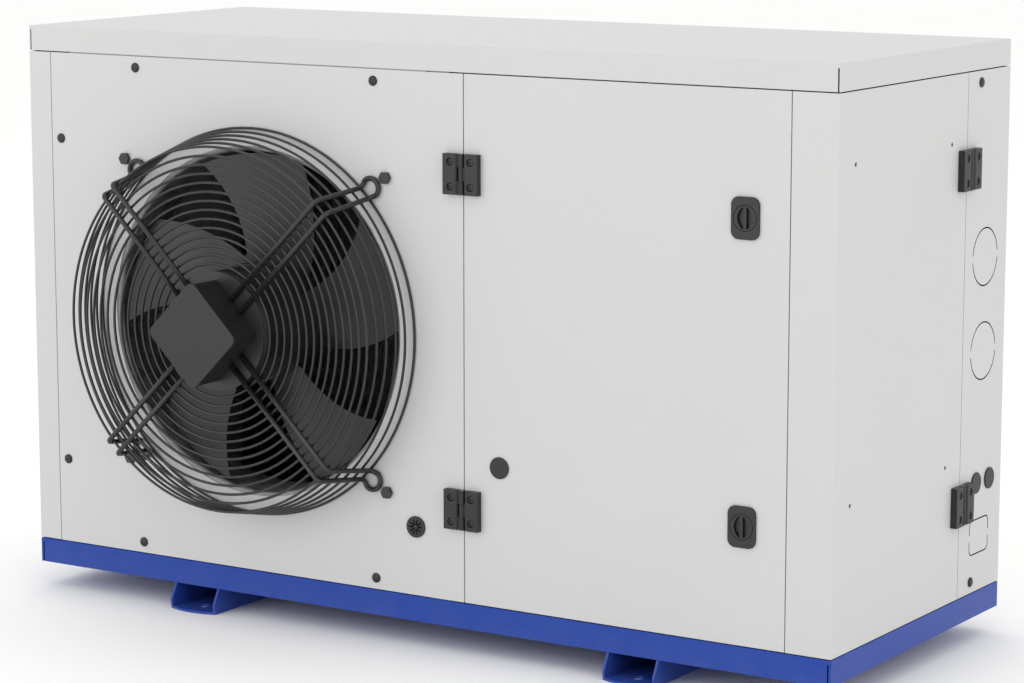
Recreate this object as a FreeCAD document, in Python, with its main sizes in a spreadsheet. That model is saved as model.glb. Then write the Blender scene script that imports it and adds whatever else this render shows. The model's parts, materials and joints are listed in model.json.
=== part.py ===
import FreeCAD
import Part
import Sketcher
import math
import os

# Packaged air-cooled condensing unit, in millimetres.
# +X is to the right seen from the fan side, +Y to the back, +Z up.
# The origin is on the floor, midway between the four foot holes.

doc = FreeCAD.newDocument("CondensingUnit")
sheet = doc.addObject("Spreadsheet::Sheet", "Sizes")
sizes_written = []
sub_parts = []


class Size:
    """A length that knows its formula on the sheet and its present value."""

    def __init__(self, text, value):
        self.text = text
        self.value = value

    def __add__(self, other):
        other = as_size(other)
        return Size("(%s + %s)" % (self.text, other.text), self.value + other.value)

    def __sub__(self, other):
        other = as_size(other)
        return Size("(%s - %s)" % (self.text, other.text), self.value - other.value)

    def __mul__(self, other):
        other = as_size(other)
        return Size("(%s * %s)" % (self.text, other.text), self.value * other.value)

    def __truediv__(self, other):
        other = as_size(other)
        return Size("(%s / %s)" % (self.text, other.text), self.value / other.value)

    def __neg__(self):
        return Size("(-1 * %s)" % self.text, -self.value)

    __radd__ = __add__
    __rmul__ = __mul__

    def __rsub__(self, other):
        return as_size(other) - self


def as_size(value):
    if isinstance(value, Size):
        return value
    return Size("(%s)" % repr(value), float(value))


def root(value):
    value = as_size(value)
    return Size("sqrt(%s)" % value.text, math.sqrt(value.value))


def size(name, value, meaning):
    """Write one driving dimension to the sheet and hand it back."""
    sizes_written.append(name)
    row = len(sizes_written)
    sheet.set("A%d" % row, meaning)
    sheet.set("B%d" % row, str(value))
    sheet.setAlias("B%d" % row, name)
    return Size("Sizes.%s" % name, float(value))


# Cabinet
depth = size("depth", 430, "outside depth of the cabinet")
foot_height = size("foot_height", 30, "height of the foot rails")
pan_height = size("pan_height", 30, "height of the base pan's walls")
body_height = size("body_height", 607, "height between the base pan and the lid")
lid_height = size("lid_height", 30, "height of the lid's skirt")
sheet_metal = size("sheet_metal", 1.5, "thickness of the painted panels")
pan_sheet = size("pan_sheet", 3, "thickness of the base pan's steel")
seam = size("seam", 1.2, "gap between neighbouring panels")
flange = size("flange", 18, "depth of the panels' folded edges")
tab = size("tab", 28, "width of the tabs behind a neighbouring panel")
left_return = size("left_return", 33, "width of the left panel's front return")
fan_panel_width = size("fan_panel_width", 599, "width of the fan panel")
front_door_width = size("front_door_width", 412, "width of the front door")
right_return = size("right_return", 56, "width of the side door's front return")
rear_return = size("rear_return", 60, "width of the panels' rear returns")
rear_post_depth = size("rear_post_depth", 113, "depth of the rear post panel")
lip_height = size("lip_height", 18, "height of the pan's inner lip above its wall")
slit = size("slit", 1.6, "width of the slits at the folded corners")
slit_bridge = size("slit_bridge", 5, "metal left above a corner slit")

# Foot rails
rail_spacing = size("rail_spacing", 610, "distance between the foot rails")
rail_width = size("rail_width", 67, "width of a foot rail")
rail_wall = size("rail_wall", 3, "thickness of a foot rail")
rail_overhang = size("rail_overhang", 10, "how far a rail's wall stands out in front")
rail_knee = size("rail_knee", 11, "height of the knee in a rail's end")
rail_tuck = size("rail_tuck", 2, "how far the wall goes back below its knee")
rail_bulge = size("rail_bulge", 7, "bulge of the rail plate's rounded end")
foot_hole = size("foot_hole", 14, "diameter of the foot holes")
foot_hole_setback = size("foot_hole_setback", 12, "foot holes from the front and back faces")

# Fan
fan_offset = size("fan_offset", 4.5, "fan axis right of the fan panel's middle")
fan_drop = size("fan_drop", 3, "fan axis below the fan panel's middle")
throat = size("throat", 202, "radius of the fan nozzle's throat")
bell_lip = size("bell_lip", 6, "radius of the nozzle's rolled lip")
nozzle_depth = size("nozzle_depth", 62, "depth of the fan nozzle")
nozzle_plate = size("nozzle_plate", 434, "width of the nozzle's plate")
bolt_across = size("bolt_across", 379, "fan bolts, distance across")
bolt_upright = size("bolt_upright", 365, "fan bolts, distance up")
bolt_size = size("bolt_size", 8, "diameter of the fan bolts")
bolt_head = size("bolt_head", 13, "width of the bolt heads across flats")
bolt_head_height = size("bolt_head_height", 5.3, "height of the bolt heads")
bolt_clearance = size("bolt_clearance", 0.5, "room round a bolt in its hole")
tip_radius = size("tip_radius", 198, "radius at the blades' tips")
blade_count = size("blade_count", 5, "number of blades")
blade_sheet = size("blade_sheet", 3, "thickness of a blade")
blade_rise = size("blade_rise", 58, "depth of a blade along the axis")
blade_middle = size("blade_middle", 22, "middle of a blade behind the panel's face")
blade_edge = size("blade_edge", 150, "radius of the curve of a blade's edges")
rotor_radius = size("rotor_radius", 68, "radius of the outer rotor")
rotor_length = size("rotor_length", 122, "length of the outer rotor")
rotor_chamfer = size("rotor_chamfer", 6, "bevel at the rotor's ends")
spindle = size("spindle", 6, "radius of the motor's spindle")
spindle_length = size("spindle_length", 100, "length of the motor's spindle")
running_gap = size("running_gap", 0.05, "room round a shaft in its bearing")
stator_radius = size("stator_radius", 60, "radius of the stator's flange")
stator_flange = size("stator_flange", 3, "thickness of the stator's flange")
rotor_gap = size("rotor_gap", 1, "gap between the stator's flange and the rotor")
hub_wall = size("hub_wall", 2.4, "wall of the blades' hub ring")
hub_length = size("hub_length", 62, "length of the blades' hub ring")
hub_front = size("hub_front", 12, "hub ring's front end before the panel face")

# Fan guard
guard_rise = size("guard_rise", 82, "height of the guard over the panel")
guard_radius = size("guard_radius", 232, "radius of the guard's outer ring")
guard_flat = size("guard_flat", 208, "radius of the guard's flat front")
guard_inner = size("guard_inner", 80, "radius of the guard's first ring")
ring_wire = size("ring_wire", 3, "thickness of the ring wire")
flat_rings = size("flat_rings", 10, "number of rings on the flat front")
slope_rings = size("slope_rings", 4, "number of rings on the sloping side")
arm_wire = size("arm_wire", 6, "thickness of the arm wire")
arm_pair = size("arm_pair", 19, "distance between the two wires of an arm")
arm_offset = size("arm_offset", 4.8, "wires of an arm outside the sloping rings")
arm_bend = size("arm_bend", 212, "radius at which an arm bends back")
arm_corner = size("arm_corner", 9, "radius of an arm's bends")
eye_reach = size("eye_reach", 243, "radius at which the eyes at the arms' ends turn")
seat_gap = size("seat_gap", 0.3, "gap between round pieces that rest on each other")
plate_radius = size("plate_radius", 70, "radius of the guard's centre plate")
plate_sheet = size("plate_sheet", 2, "thickness of the guard's centre plate")
box_side = size("box_side", 88, "side of the motor's terminal box")
box_height = size("box_height", 40, "height of the terminal box")
box_corner = size("box_corner", 7, "corner radius of the terminal box")
box_lid = size("box_lid", 4, "thickness of the terminal box's cover")
box_lid_rim = size("box_lid_rim", 1.5, "how far the cover stands out round the box")

# Hinges
hinge_width = size("hinge_width", 46, "width of a hinge over both leaves")
hinge_height = size("hinge_height", 46, "height of a hinge")
leaf_thickness = size("leaf_thickness", 8, "thickness of a hinge leaf")
pin_height = size("pin_height", 4.2, "hinge axis above the panel")
knuckle = size("knuckle", 3.8, "radius of a hinge knuckle")
pin_radius = size("pin_radius", 1.8, "radius of a hinge pin")
leaf_start = size("leaf_start", 5, "edge of a leaf from the hinge axis")
leaf_bevel = size("leaf_bevel", 1.5, "bevel along a leaf's inner edge")
knuckle_gap = size("knuckle_gap", 0.3, "end gap between hinge knuckles")
hinge_screw_radius = size("hinge_screw_radius", 2.2, "radius of a hinge screw")
hinge_screw_head = size("hinge_screw_head", 4.4, "radius of a hinge screw's head")
hinge_screw_spacing = size("hinge_screw_spacing", 28, "distance between a leaf's screws")
hinge_screw_from_pin = size("hinge_screw_from_pin", 13.5, "hinge screws from the hinge axis")
door_hinge_low = size("door_hinge_low", 110, "lower front hinge above the base pan")
door_hinge_high = size("door_hinge_high", 113.5, "upper front hinge below the lid")
side_hinge_low = size("side_hinge_low", 112, "lower side hinge above the base pan")
side_hinge_high = size("side_hinge_high", 110, "upper side hinge below the lid")

# Latches
latch_from_edge = size("latch_from_edge", 53, "latch axis from the door's free edge")
latch_low = size("latch_low", 133.5, "lower latch above the base pan")
latch_high = size("latch_high", 138.5, "upper latch below the lid")
latch_width = size("latch_width", 34, "width of a latch's plate")
latch_height = size("latch_height", 46, "height of a latch's plate")
latch_corner = size("latch_corner", 9, "corner radius of a latch's plate")
latch_plate = size("latch_plate", 3, "thickness of a latch's plate")
latch_bore = size("latch_bore", 14.2, "radius of a latch's bore")
latch_wall = size("latch_wall", 1.4, "wall round a latch's bore")
latch_body = size("latch_body", 13, "depth of a latch behind the door's face")
latch_floor = size("latch_floor", 2.7, "thickness of a latch's back wall")
grip_gap = size("grip_gap", 0.3, "gap round a turning grip")
grip_fin = size("grip_fin", 4, "thickness of the grip's fin")
grip_hollow = size("grip_hollow", 9, "depth of the finger hollows")
grip_hollow_reach = size("grip_hollow_reach", 12, "half length of the finger hollows")
grip_hollow_width = size("grip_hollow_width", 7, "width of a finger hollow")
latch_spindle = size("latch_spindle", 4, "radius of a latch's spindle")
post_gap = size("post_gap", 1, "gap between the door's fold and the post")
post_sheet = size("post_sheet", 2, "thickness of the inner post")
post_cover = size("post_cover", 14, "how far the post stands behind the door")
post_width = size("post_width", 44, "width of the inner post")
post_depth = size("post_depth", 36, "depth of the inner post")
cam_gap = size("cam_gap", 0.8, "gap between a cam and the post")
cam_thickness = size("cam_thickness", 2.5, "thickness of a cam")
cam_width = size("cam_width", 15, "width of a cam")
cam_overlap = size("cam_overlap", 11, "how far a turned cam reaches behind the post")
seal_width = size("seal_width", 10, "width of the door's seal")
seal_inset = size("seal_inset", 3, "seal from the door's fold")

# Plugs, caps and knockouts
cap_radius = size("cap_radius", 5.8, "radius of a screw cap")
cap_height = size("cap_height", 2.8, "height of a screw cap")
cap_inset = size("cap_inset", 14.5, "screw caps from the panel's edges")
cap_up = size("cap_up", 105, "upper and lower side caps from the panel's ends")
cap_across = size("cap_across", 345, "distance between the upper screw caps")
plug_radius = size("plug_radius", 12.5, "radius of the plug and of the vent insert")
plug_height = size("plug_height", 2, "height of a plug's rim")
plug_stem = size("plug_stem", 8, "length of a plug behind the panel")
plug_stem_radius = size("plug_stem_radius", 10.5, "radius of a plug's stem")
plug_from_seam = size("plug_from_seam", 48, "door plug from the hinge seam")
plug_up = size("plug_up", 163.5, "door plug above the base pan")
vent_from_seam = size("vent_from_seam", 66, "vent insert from the hinge seam")
vent_up = size("vent_up", 82, "vent insert above the base pan")
vent_slots = size("vent_slots", 10, "number of slots in the vent insert")
side_hole = size("side_hole", 2.5, "radius of the holes in the side door")
side_hole_front = size("side_hole_front", 39, "front holes from the front face")
side_hole_rear = size("side_hole_rear", 40, "rear holes from the side door's rear edge")
side_hole_low = size("side_hole_low", 162, "lower holes above the base pan")
side_hole_high = size("side_hole_high", 78.5, "upper holes below the lid")
knockout_radius = size("knockout_radius", 34, "radius of the round knockouts")
knockout_slit = size("knockout_slit", 1.5, "width of the slit round a knockout")
knockout_tab = size("knockout_tab", 4, "half height of a knockout's two tabs")
knockout_from_back = size("knockout_from_back", 58, "knockouts from the back face")
knockout_high = size("knockout_high", 392, "upper round knockout above the base pan")
knockout_low = size("knockout_low", 283, "lower round knockout above the base pan")
slot_knockout_width = size("slot_knockout_width", 52, "width of the lowest knockout")
slot_knockout_height = size("slot_knockout_height", 42, "height of the lowest knockout")
slot_knockout_corner = size("slot_knockout_corner", 8, "corner radius of the lowest knockout")
slot_knockout_up = size("slot_knockout_up", 66, "lowest knockout above the base pan")
side_plug_up = size("side_plug_up", 130, "side plugs above the base pan")
side_plug_front = size("side_plug_front", 70, "front side plug from the back face")
side_plug_rear = size("side_plug_rear", 34, "rear side plug from the back face")

# Coil
coil_depth = size("coil_depth", 44, "depth of the fin block")
coil_from_back = size("coil_from_back", 18, "fin block from the rear face")
coil_from_left = size("coil_from_left", 36, "coil from the left side")
coil_lift = size("coil_lift", 6, "fin block above the pan's floor")
coil_drop = size("coil_drop", 12, "fin block below the lid")
groove_pitch = size("groove_pitch", 27, "pitch of the grooves on the fin block")
groove_width = size("groove_width", 3, "width of the grooves on the fin block")
groove_depth = size("groove_depth", 3, "depth of the grooves on the fin block")
tube_radius = size("tube_radius", 4.8, "radius of the coil's tubes")
tube_pitch = size("tube_pitch", 50, "pitch of the coil's tubes")
return_bends = size("return_bends", 5, "number of return bends in view")

# Machine compartment
bulkhead_inset = size("bulkhead_inset", 22, "bulkhead from the hinge seam")
compressor_radius = size("compressor_radius", 84, "radius of the compressor's shell")
compressor_height = size("compressor_height", 300, "height of the compressor's shell")
compressor_gap = size("compressor_gap", 14, "room between the compressor and the receiver")
compressor_from_back = size("compressor_from_back", 150, "compressor from the rear face")
compressor_shoulder = size("compressor_shoulder", 26, "height of the shell's shoulder")
weld_band = size("weld_band", 2, "how far the shell's weld bead stands out")
mount_plate = size("mount_plate", 200, "side of the compressor's base plate")
mount_sheet = size("mount_sheet", 4, "thickness of the compressor's base plate")
grommet_height = size("grommet_height", 18, "height of the rubber mounts")
grommet_radius = size("grommet_radius", 14, "radius of the rubber mounts")
grommet_inset = size("grommet_inset", 22, "rubber mounts from the base plate's edges")
stud_radius = size("stud_radius", 4, "radius of the compressor's studs")
stud_above = size("stud_above", 12, "height of the studs above the base plate")
receiver_radius = size("receiver_radius", 55, "radius of the liquid receiver")
receiver_height = size("receiver_height", 290, "height of the liquid receiver")
receiver_from_bulkhead = size("receiver_from_bulkhead", 112, "receiver from the bulkhead")
receiver_from_back = size("receiver_from_back", 110, "receiver from the rear face")
pipe_radius = size("pipe_radius", 6, "radius of the discharge and liquid pipes")
suction_radius = size("suction_radius", 9, "radius of the suction pipe")
pipe_bend = size("pipe_bend", 28, "radius of the pipes' bends")
valve_radius = size("valve_radius", 14, "radius of the service valves' bodies")
valve_length = size("valve_length", 46, "length of the service valves")
bracket_from_right = size("bracket_from_right", 62, "valve bracket from the right side")
control_width = size("control_width", 170, "width of the control plate")
control_height = size("control_height", 190, "height of the control plate")
control_from_front = size("control_from_front", 60, "control plate from the front face")
control_below_lid = size("control_below_lid", 60, "control plate below the lid")

doc.recompute()

# Places that several pieces share
width = left_return + fan_panel_width + front_door_width + right_return
left = -width / 2
right = width / 2
front = -depth / 2
back = depth / 2
pan_top = foot_height + pan_height
floor_top = foot_height + pan_sheet
panel_bottom = pan_top + seam
lid_bottom = pan_top + body_height
panel_top = lid_bottom - seam
top = lid_bottom + lid_height
roof = top - sheet_metal
fan_seam = left + left_return
door_seam = fan_seam + fan_panel_width
return_seam = right - right_return
side_seam = back - rear_post_depth
behind_panel = front + sheet_metal
fan_x = fan_seam + fan_panel_width / 2 + fan_offset
fan_z = pan_top + body_height / 2 - fan_drop
bulkhead = door_seam - bulkhead_inset
post_front = front + flange + post_gap
post_left = return_seam - post_cover
coil_back = back - coil_from_back
coil_front = coil_back - coil_depth
coil_left = left + coil_from_left
inner_front = front + pan_sheet
inner_back = back - pan_sheet - sheet_metal


def bind(obj, prop, value):
    """Tie a property of an object to a formula on the sheet."""
    obj.setExpression(prop, as_size(value).text)


def place(obj, x=0, y=0, z=0, axis=(0, 0, 1), angle=0):
    """Put an object at a bound place, turned by a fixed angle."""
    turn = FreeCAD.Rotation(FreeCAD.Vector(*axis), angle)
    obj.Placement = FreeCAD.Placement(FreeCAD.Vector(0, 0, 0), turn)
    bind(obj, "Placement.Base.x", x)
    bind(obj, "Placement.Base.y", y)
    bind(obj, "Placement.Base.z", z)
    return obj


def keep(obj, node=None):
    """Count an object as a sub-part, under its own name."""
    if node:
        obj.Label = node
    sub_parts.append(obj)
    return obj


# Part-design helpers
def new_body(node, x=0, y=0, z=0, axis=(0, 0, 1), angle=0):
    body = doc.addObject("PartDesign::Body", node)
    body.Label = node
    return place(body, x, y, z, axis, angle)


def new_sketch(body, name, role, height=0):
    """A sketch on one of the body's own planes, moved along its normal."""
    plane = [f for f in body.Origin.OriginFeatures if f.Role == role][0]
    sketch = body.newObject("Sketcher::SketchObject", "%s_%s" % (body.Name, name))
    sketch.AttachmentSupport = [(plane, "")]
    sketch.MapMode = "FlatFace"
    bind(sketch, "AttachmentOffset.Base.z", height)
    return sketch


def fix_point(sketch, geometry, end, x, y):
    for kind, value in (("DistanceX", x), ("DistanceY", y)):
        value = as_size(value)
        rule = Sketcher.Constraint(kind, -1, 1, geometry, end, value.value)
        index = sketch.addConstraint(rule)
        sketch.setExpression("Constraints[%d]" % index, value.text)


def arc_between(start, end, radius):
    """The shorter arc between two points; a positive radius turns left."""
    chord = end - start
    half = chord.Length / 2
    rise = math.sqrt(max(radius * radius - half * half, 0.0))
    normal = FreeCAD.Vector(-chord.y, chord.x, 0).normalize()
    side = 1 if radius > 0 else -1
    middle = start + chord * 0.5 + normal * ((rise - abs(radius)) * side)
    return Part.Arc(start, middle, end)


def outline(sketch, corners):
    """A closed outline. A third value makes the next edge an arc of that radius."""
    first = sketch.GeometryCount
    count = len(corners)
    points = [FreeCAD.Vector(as_size(c[0]).value, as_size(c[1]).value, 0) for c in corners]
    starts = []
    for i, corner in enumerate(corners):
        begin, end = points[i], points[(i + 1) % count]
        if len(corner) == 3:
            radius = as_size(corner[2])
            sketch.addGeometry(arc_between(begin, end, radius.value))
            starts.append((1, 2) if radius.value > 0 else (2, 1))
        else:
            sketch.addGeometry(Part.LineSegment(begin, end))
            starts.append((1, 2))
    for i in range(count):
        following = (i + 1) % count
        rule = Sketcher.Constraint("Coincident", first + i, starts[i][1],
                                   first + following, starts[following][0])
        sketch.addConstraint(rule)
    for i, corner in enumerate(corners):
        fix_point(sketch, first + i, starts[i][0], corner[0], corner[1])
        if len(corner) == 3:
            radius = as_size(corner[2])
            index = sketch.addConstraint(Sketcher.Constraint("Radius", first + i, abs(radius.value)))
            text = radius.text if radius.value > 0 else (-radius).text
            sketch.setExpression("Constraints[%d]" % index, text)


def rectangle(sketch, x0, y0, x1, y1):
    outline(sketch, [(x0, y0), (x1, y0), (x1, y1), (x0, y1)])


def rounded(sketch, x, y, half_x, half_y, corner):
    """A rectangle about a centre with rounded corners, drawn anticlockwise."""
    outline(sketch, [
        (x - half_x + corner, y - half_y), (x + half_x - corner, y - half_y, corner),
        (x + half_x, y - half_y + corner), (x + half_x, y + half_y - corner, corner),
        (x + half_x - corner, y + half_y), (x - half_x + corner, y + half_y, corner),
        (x - half_x, y + half_y - corner), (x - half_x, y - half_y + corner, corner)])


def circle(sketch, x, y, radius):
    radius = as_size(radius)
    centre = FreeCAD.Vector(as_size(x).value, as_size(y).value, 0)
    up = FreeCAD.Vector(0, 0, 1)
    index = sketch.addGeometry(Part.Circle(centre, up, radius.value))
    fix_point(sketch, index, 3, x, y)
    rule = sketch.addConstraint(Sketcher.Constraint("Radius", index, radius.value))
    sketch.setExpression("Constraints[%d]" % rule, radius.text)


def pad(body, sketch, length, backwards=False):
    feature = body.newObject("PartDesign::Pad", "%s_pad" % sketch.Name)
    feature.Profile = sketch
    feature.Reversed = backwards
    bind(feature, "Length", length)
    return feature


def pocket(body, sketch, length, backwards=False):
    feature = body.newObject("PartDesign::Pocket", "%s_pocket" % sketch.Name)
    feature.Profile = sketch
    feature.Reversed = backwards
    bind(feature, "Length", length)
    return feature


def revolve(body, sketch, kind="PartDesign::Revolution"):
    """A full turn about the sketch's upright axis."""
    feature = body.newObject(kind, "%s_turned" % sketch.Name)
    feature.Profile = sketch
    feature.ReferenceAxis = (sketch, ["V_Axis"])
    feature.Angle = 360
    return feature


def axis_of(body, role):
    return [f for f in body.Origin.OriginFeatures if f.Role == role][0]


# Primitive helpers
def box(name, x, y, z, dx, dy, dz):
    obj = doc.addObject("Part::Box", name)
    bind(obj, "Length", dx)
    bind(obj, "Width", dy)
    bind(obj, "Height", dz)
    return place(obj, x, y, z)


DIRECTIONS = {"x": ((0, 1, 0), 90), "y": ((1, 0, 0), -90), "z": ((0, 0, 1), 0)}


def cylinder(name, x, y, z, radius, length, along="z"):
    """A round bar that starts at the given point and runs along +X, +Y or +Z."""
    obj = doc.addObject("Part::Cylinder", name)
    bind(obj, "Radius", radius)
    bind(obj, "Height", length)
    axis, angle = DIRECTIONS[along]
    return place(obj, x, y, z, axis, angle)


def cone(name, x, y, z, radius, far_radius, length, along="z"):
    obj = doc.addObject("Part::Cone", name)
    bind(obj, "Radius1", radius)
    bind(obj, "Radius2", far_radius)
    bind(obj, "Height", length)
    axis, angle = DIRECTIONS[along]
    return place(obj, x, y, z, axis, angle)


def cut(name, base, tool):
    obj = doc.addObject("Part::Cut", name)
    obj.Base = base
    obj.Tool = tool
    return obj


def fuse(name, *pieces):
    obj = doc.addObject("Part::MultiFuse", name)
    obj.Shapes = list(pieces)
    return obj


def group(node, pieces):
    """Separate solids that share one node."""
    obj = doc.addObject("Part::Compound", node)
    obj.Links = list(pieces)
    return keep(obj, node)


def copy_of(original, name, x=0, y=0, z=0, axis=(0, 0, 1), angle=0):
    link = doc.addObject("App::Link", name)
    link.LinkedObject = original
    return place(link, x, y, z, axis, angle)


def profile_post(node, corners, bottom, height, alone=True):
    """A folded panel: its plan outline, raised to its height."""
    body = new_body(node)
    plan = new_sketch(body, "plan", "XY_Plane", bottom)
    outline(plan, corners)
    pad(body, plan, height)
    return keep(body) if alone else body


# Base pan and feet
def make_base_pan():
    body = new_body("base_pan")
    plan = new_sketch(body, "plan", "XY_Plane", foot_height)
    rectangle(plan, left, front, right, back)
    pad(body, plan, pan_height)
    hollow = new_sketch(body, "hollow", "XY_Plane", pan_top)
    rectangle(hollow, left + pan_sheet, front + pan_sheet, right - pan_sheet, back - pan_sheet)
    pocket(body, hollow, pan_height - pan_sheet)
    slits = new_sketch(body, "slits", "XY_Plane", foot_height)
    for x0 in (left + pan_sheet, right - pan_sheet - slit):
        for y0 in (front - slit, back - pan_sheet):
            rectangle(slits, x0, y0, x0 + slit, y0 + pan_sheet + slit)
    pocket(body, slits, pan_height - slit_bridge, backwards=True)
    lip = new_sketch(body, "lip", "XY_Plane", floor_top)
    outer_x, outer_y = left + pan_sheet, front + pan_sheet
    far_x, far_y = right - pan_sheet, back - pan_sheet
    lip_end = bulkhead - tab
    outline(lip, [
        (lip_end, outer_y), (lip_end, outer_y + sheet_metal),
        (outer_x + sheet_metal, outer_y + sheet_metal), (outer_x + sheet_metal, far_y - sheet_metal),
        (far_x - sheet_metal, far_y - sheet_metal), (far_x - sheet_metal, side_seam + tab),
        (far_x, side_seam + tab), (far_x, far_y), (outer_x, far_y), (outer_x, outer_y)])
    pad(body, lip, pan_height + lip_height - pan_sheet)
    return keep(body)


def make_foot_rail(node, x):
    body = new_body(node, x=x)
    half = rail_width / 2
    end = depth / 2 + rail_overhang - rail_tuck
    bulge_radius = (half * half + rail_bulge * rail_bulge) / (2 * rail_bulge)
    plan = new_sketch(body, "plan", "XY_Plane")
    outline(plan, [(-half, -end, bulge_radius), (half, -end), (half, end, bulge_radius), (-half, end)])
    pad(body, plan, rail_wall)
    wall = new_sketch(body, "wall", "YZ_Plane", -half)
    knee = depth / 2 + rail_overhang
    outline(wall, [
        (-end, 0), (end, 0), (knee, rail_knee), (depth / 2, foot_height),
        (-depth / 2, foot_height), (-knee, rail_knee)])
    side = pad(body, wall, rail_wall)
    other = body.newObject("PartDesign::Mirrored", "%s_other_wall" % body.Name)
    other.Originals = [side]
    other.MirrorPlane = (axis_of(body, "YZ_Plane"), [""])
    body.Tip = other
    holes = new_sketch(body, "holes", "XY_Plane")
    for sign in (-1, 1):
        circle(holes, 0, sign * (depth / 2 - foot_hole_setback), foot_hole / 2)
    pocket(body, holes, rail_wall, backwards=True)
    return keep(body)


# Panels
def make_left_side_panel():
    t = sheet_metal
    edge = fan_seam - seam / 2
    rear = left + rear_return
    profile_post("left_side_panel", [
        (left, front), (edge, front), (edge, front + t), (edge + tab, front + t),
        (edge + tab, front + 2 * t), (edge - t, front + 2 * t), (edge - t, front + t),
        (left + t, front + t), (left + t, back - t), (rear, back - t), (rear, back), (left, back),
    ], panel_bottom, panel_top - panel_bottom)


def make_fan_panel():
    body = new_body("fan_panel")
    x0, x1 = fan_seam + seam / 2, door_seam - seam / 2
    face = new_sketch(body, "face", "XZ_Plane", -behind_panel)
    rectangle(face, x0, panel_bottom, x1, panel_top)
    circle(face, fan_x, fan_z, throat + bell_lip)
    for x, z in fan_bolt_places():
        circle(face, x, z, bolt_size / 2 + bolt_clearance)
    circle(face, vent_x(), pan_top + vent_up, plug_stem_radius + bolt_clearance)
    pad(body, face, sheet_metal)
    fold = new_sketch(body, "fold", "XZ_Plane", -(front + flange))
    rectangle(fold, x1 - sheet_metal, panel_bottom, x1, panel_top)
    pad(body, fold, flange - sheet_metal)
    return keep(body)


def fan_bolt_places():
    return [(fan_x + i * bolt_across / 2, fan_z + j * bolt_upright / 2)
            for i in (-1, 1) for j in (-1, 1)]


def vent_x():
    return door_seam - vent_from_seam


def make_rear_post_panel():
    t = sheet_metal
    start = side_seam + seam / 2
    edge = right - rear_return
    body = profile_post("rear_post_panel", [
        (right - flange, start), (right, start), (right, back), (edge, back), (edge, back - t),
        (edge - tab, back - t), (edge - tab, back - 2 * t), (edge + t, back - 2 * t), (edge + t, back - t),
        (right - t, back - t), (right - t, start + t), (right - flange, start + t),
    ], panel_bottom, panel_top - panel_bottom)
    y = back - knockout_from_back
    slots = new_sketch(body, "knockouts", "YZ_Plane", right)
    outer, inner, h = knockout_radius, knockout_radius - knockout_slit, knockout_tab
    reach_out, reach_in = root(outer * outer - h * h), root(inner * inner - h * h)
    for z in (pan_top + knockout_high, pan_top + knockout_low):
        outline(slots, [(y + reach_out, z + h, outer), (y - reach_out, z + h),
                        (y - reach_in, z + h, -inner), (y + reach_in, z + h)])
        outline(slots, [(y - reach_out, z - h, outer), (y + reach_out, z - h),
                        (y + reach_in, z - h, -inner), (y - reach_in, z - h)])
    z = pan_top + slot_knockout_up
    a, b, r, w = slot_knockout_width / 2, slot_knockout_height / 2, slot_knockout_corner, knockout_slit
    for s in (1, -1):
        outline(slots, [
            (y + s * a, z + s * h), (y + s * a, z + s * (b - r), r), (y + s * (a - r), z + s * b),
            (y - s * (a - r), z + s * b, r), (y - s * a, z + s * (b - r)), (y - s * a, z + s * h),
            (y - s * (a - w), z + s * h), (y - s * (a - w), z + s * (b - r), w - r),
            (y - s * (a - r), z + s * (b - w)), (y + s * (a - r), z + s * (b - w), w - r),
            (y + s * (a - w), z + s * (b - r)), (y + s * (a - w), z + s * h)])
    for place_y in (side_plug_front, side_plug_rear):
        circle(slots, back - place_y, pan_top + side_plug_up, plug_stem_radius + bolt_clearance)
    pocket(body, slots, sheet_metal)


def make_rear_panel():
    body = new_body("rear_panel")
    face = new_sketch(body, "face", "XZ_Plane", -back)
    x0 = bulkhead + seam
    rectangle(face, x0, panel_bottom, right - rear_return - seam, panel_top)
    pad(body, face, sheet_metal)
    fold = new_sketch(body, "fold", "XZ_Plane", -(back - sheet_metal))
    rectangle(fold, x0, pan_top + lip_height + seam, x0 + sheet_metal, panel_top)
    pad(body, fold, pan_sheet)
    keep(body)


def make_lid():
    body = new_body("lid")
    plan = new_sketch(body, "plan", "XY_Plane", lid_bottom)
    rectangle(plan, left, front, right, back)
    pad(body, plan, lid_height)
    hollow = new_sketch(body, "hollow", "XY_Plane", lid_bottom)
    t = sheet_metal
    rectangle(hollow, left + t, front + t, right - t, back - t)
    pocket(body, hollow, lid_height - t, backwards=True)
    slits = new_sketch(body, "slits", "XY_Plane", lid_bottom)
    for x0 in (left + t, right - t - slit):
        for y0 in (front - slit, back - t):
            rectangle(slits, x0, y0, x0 + slit, y0 + t + slit)
    pocket(body, slits, lid_height - slit_bridge, backwards=True)
    keep(body)


# Inner frame
def make_inner_frame():
    t = sheet_metal
    tall = roof - floor_top
    profile_post("bulkhead", [
        (bulkhead - tab + seam, inner_front), (bulkhead + t, inner_front),
        (bulkhead + t, coil_front), (bulkhead, coil_front),
        (bulkhead, inner_front + t), (bulkhead - tab + seam, inner_front + t),
    ], floor_top, tall)
    x1 = post_left + post_width
    p = post_sheet
    profile_post("front_post", [
        (post_left, post_front), (x1, post_front), (x1, post_front + post_depth),
        (x1 - p, post_front + post_depth), (x1 - p, post_front + p), (post_left, post_front + p),
    ], floor_top, tall)
    make_head_rail("fan_head_rail", fan_seam - seam / 2 + tab + seam, bulkhead - tab, behind_panel)
    make_head_rail("door_head_rail", bulkhead + t, post_left, post_front)


def make_head_rail(node, x0, x1, y0):
    """An angle under the lid, behind the upper edge of a panel."""
    t = sheet_metal
    body = new_body(node)
    side = new_sketch(body, "side", "YZ_Plane", x0)
    low = lid_bottom - flange
    outline(side, [(y0, low), (y0 + t, low), (y0 + t, roof - t), (y0 + flange, roof - t),
                   (y0 + flange, roof), (y0, roof)])
    pad(body, side, x1 - x0)
    keep(body)


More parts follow.
